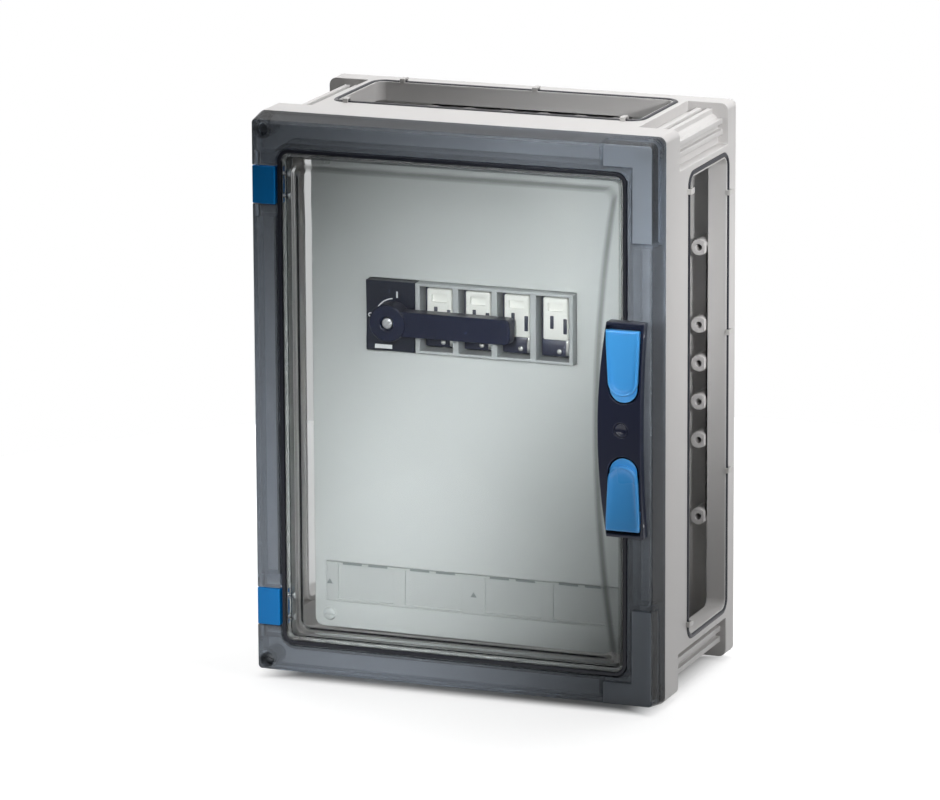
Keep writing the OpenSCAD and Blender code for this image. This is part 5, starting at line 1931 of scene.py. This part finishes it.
@dataclass
class Studio:
    """Floor, soft lamps, pale surroundings and the camera."""

    lens: float = 240.78
    azimuth: float = 21.09
    elevation: float = 13.45
    roll: float = -0.28
    place: tuple[float, float, float] = (1.37651, -3.68624, 0.91585)
    ambient: float = 0.05
    sky_through: float = 0.58
    floor_through: float = 0.25
    floor_grey: float = 0.42
    reach: float = 0.62
    glow: Point = (0.74, 1.0)
    glow_start: float = 0.22
    # painted shadow under the object: the box it covers, the glow it leaves, and the span over which it fades
    painted_shadow_footprint: Point = (0.136, 0.076)
    painted_shadow_levels: Point = (0.08, 1.0)
    painted_shadow_span: Point = (0.78, 1.02)
    mirrored: Point = (0.05, 0.95)
    mirror_span: Point = (-0.55, 0.75)
    mirror_lean: Point = (0.25, 0.75)

    def build(self, level: float) -> None:
        """Builds the studio over a floor at the given height."""
        self.camera()
        self.lamps()
        self.surroundings()
        self.floor(level)

    def hang(
        self, data: bpy.types.ID, at: Place, along: Vector, turn: float = 0.0, stretch: float = 1.0
    ) -> bpy.types.Object:
        """Hangs a lamp or the camera.

        Args:
            data: The lamp or the camera.
            at: Its place.
            along: The way that it faces.
            turn: Turn about that way in degrees.
            stretch: How much longer than wide it is.

        Returns:
            The object in the scene.
        """
        hung = bpy.data.objects.new(data.name, data)
        hung.location = at
        hung.rotation_mode = "QUATERNION"
        hung.rotation_quaternion = along.to_track_quat("-Z", "Y") @ Quaternion((0, 0, 1), math.radians(turn))
        hung.scale = (stretch, 1.0, 1.0)
        bpy.context.scene.collection.objects.link(hung)
        return hung

    def camera(self) -> None:
        """Sets the camera at the viewing angle of the finished picture."""
        data = bpy.data.cameras.new("camera")
        data.sensor_width = 36.0
        data.lens = self.lens
        data.clip_end = 50.0
        a, e = math.radians(self.azimuth), math.radians(self.elevation)
        forward = Vector((-math.sin(a) * math.cos(e), math.cos(a) * math.cos(e), -math.sin(e)))
        bpy.context.scene.camera = self.hang(data, self.place, forward, self.roll)

    def lamps(self) -> None:
        """Hangs soft lamps above and beside, a slanting band over the front, and beams for its edges."""
        for name, at, towards, power, size in (
            ("lamp_above", (0.1, 0.35, 1.3), (0, 0.0, 0), 14.0, (1.0, 0.9)),
            ("lamp_right", (1.4, -0.25, 1.0), (0, -0.08, 0.1), 10.0, (0.5, 0.5)),
            ("lamp_left", (-1.3, 0.75, 0.9), (0, -0.07, 0), 9.0, (0.8, 0.8)),
        ):
            data = bpy.data.lights.new(name, "AREA")
            data.shape = "RECTANGLE"
            data.size, data.size_y = size
            data.energy = power
            self.hang(data, at, Vector(towards) - Vector(at))
        for name, at, towards, power, width, stretch, turn in (
            ("lamp_band", (0.35, -1.7, 0.55), (-0.016, -0.13, -0.02), 136.0, 6.6, 2.6, 67.0),
            ("lamp_edge", (-0.5, -1.6, 0.5), (0.129, -0.15, 0.1), 165.0, 3.0, 2.7, 90.0),
            ("lamp_hinge", (0.9, -1.6, 0.6), (-0.138, -0.14, 0.0), 100.0, 1.2, 11.0, 90.0),
            ("lamp_side", (1.35, -1.15, 0.55), (0.138, -0.012, 0.08), 190.0, 4.4, 2.6, 90.0),
        ):
            data = bpy.data.lights.new(name, "SPOT")
            data.energy = power
            data.spot_size = math.radians(width)
            data.spot_blend = 1.0
            data.shadow_soft_size = 0.1
            self.hang(data, at, Vector(towards) - Vector(at), turn, stretch)

    def in_sight(self, graph: Graph, through: float, mirrored: bool) -> Socket:
        """Tells rays that carry the picture from rays that carry light onto a matt surface.

        Args:
            graph: The tree.
            through: Share that is seen through clear parts.
            mirrored: True if reflections count as sight.

        Returns:
            1 for plain sight, less through clear parts, and 0 for light.
        """
        path = graph.node("ShaderNodeLightPath").outputs
        tinted = graph.math("MULTIPLY", path["Is Transmission Ray"], through)
        seen = graph.math("MAXIMUM", path["Is Camera Ray"], tinted)
        if mirrored:
            seen = graph.math("MAXIMUM", seen, self.reflected(graph))
        return graph.math("MULTIPLY", seen, graph.math("LESS_THAN", path["Diffuse Depth"], 0.5))

    def reflected(self, graph: Graph) -> Socket:
        """1 for a mirror reflection, 0 for a ray that passes a clear part and for any other."""
        path = graph.node("ShaderNodeLightPath").outputs
        return graph.math("MULTIPLY", path["Is Glossy Ray"], path["Is Reflection Ray"])

    def surroundings(self) -> None:
        """Pale surroundings: white to the eye, softer as light, and darker low in front as a reflection."""
        world = bpy.data.worlds.new("studio")
        bpy.context.scene.world = world
        world.use_nodes = True
        world.node_tree.nodes.clear()
        graph = Graph(world.node_tree)
        way = graph.split(graph.node("ShaderNodeTexCoord").outputs["Generated"])
        right, back = self.mirror_lean
        lean = graph.math("ADD", graph.math("MULTIPLY", way["Y"], back), way["Z"])
        lean = graph.math("ADD", lean, graph.math("MULTIPLY", way["X"], right))
        mirrored = graph.ramp(lean, *self.mirrored, *self.mirror_span, soft=True)
        ends = {"Factor": self.reflected(graph), "A": self.ambient, "B": mirrored}
        level = graph.node("ShaderNodeMix", ends, data_type="FLOAT").outputs["Result"]
        bright = graph.math("MAXIMUM", self.in_sight(graph, self.sky_through, False), level)
        light = graph.node("ShaderNodeBackground", {"Color": (1.0, 1.0, 1.0, 1.0), "Strength": bright})
        graph.node("ShaderNodeOutputWorld", {"Surface": light.outputs[0]})

    def floor(self, level: float) -> None:
        """Lays a pale round of floor under the object, with a shadow painted into its glow close under the
        object; the surroundings carry it on.

        Args:
            level: Height of the floor.
        """
        steps = 96
        turns = [math.tau * k / steps for k in range(steps)]
        rim = [(self.reach * math.cos(a), self.reach * math.sin(a), level) for a in turns]
        floor = new_piece("floor", rim, [range(steps)])
        material = bpy.data.materials.new("floor_white")
        material.use_nodes = True
        material.node_tree.nodes.clear()
        graph = Graph(material.node_tree)
        place = graph.node("ShaderNodeTexCoord").outputs["Object"]
        away = graph.node("ShaderNodeVectorMath", {0: place}, operation="LENGTH").outputs["Value"]
        rise = graph.ramp(away, *self.glow, self.glow_start, self.reach * 0.95, soft=True)
        # painted shadow: the floor's glow is dimmed in a box round the object's footprint
        glow_with_painted_shadow = graph.math("MULTIPLY", rise, self.painted_shadow_under_object(graph, place))
        values = {
            "Base Color": (self.floor_grey, self.floor_grey, self.floor_grey, 1.0),
            "Roughness": 0.9,
            "Specular IOR Level": 0.1,
            "Emission Color": (1.0, 1.0, 1.0, 1.0),
            "Emission Strength": graph.math("MULTIPLY", self.in_sight(graph, self.floor_through, True), glow_with_painted_shadow),
        }
        shader = graph.node("ShaderNodeBsdfPrincipled", values)
        graph.node("ShaderNodeOutputMaterial", {"Surface": shader.outputs[0]})
        floor.data.materials.append(material)
        floor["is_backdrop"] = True

    def painted_shadow_under_object(self, graph: Graph, place: Socket) -> Socket:
        """Paints a shadow into the floor's glow close under the object.

        Args:
            graph: The floor's tree.
            place: The place on the floor.

        Returns:
            1 away from the object, and little under it.
        """
        split = graph.split(place)
        wide, deep = self.painted_shadow_footprint
        across = graph.math("DIVIDE", graph.math("ABSOLUTE", split["X"]), wide)
        along = graph.math("DIVIDE", graph.math("ABSOLUTE", graph.math("ADD", split["Y"], deep)), deep)
        return graph.ramp(graph.math("MAXIMUM", across, along), *self.painted_shadow_levels, *self.painted_shadow_span, soft=True)


def main() -> None:
    """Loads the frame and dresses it."""
    logging.basicConfig(level=logging.INFO, format="%(name)s: %(message)s")
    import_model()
    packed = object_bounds()
    bpy.context.scene.view_settings.view_transform = "Standard"
    Studio().build(packed[0].z - 0.0005)
    shop = Workshop(copies_tree(), bead_tree(), coil_tree())
    for kind in (Housing, FrontFrame, Door, Hinges, HandlePlate, InnerCover, RotarySwitch, RailAndEarth):
        kind().build(shop)
    LOG.info("%d pieces made", shop.made)


if __name__ == "__main__":
    main()
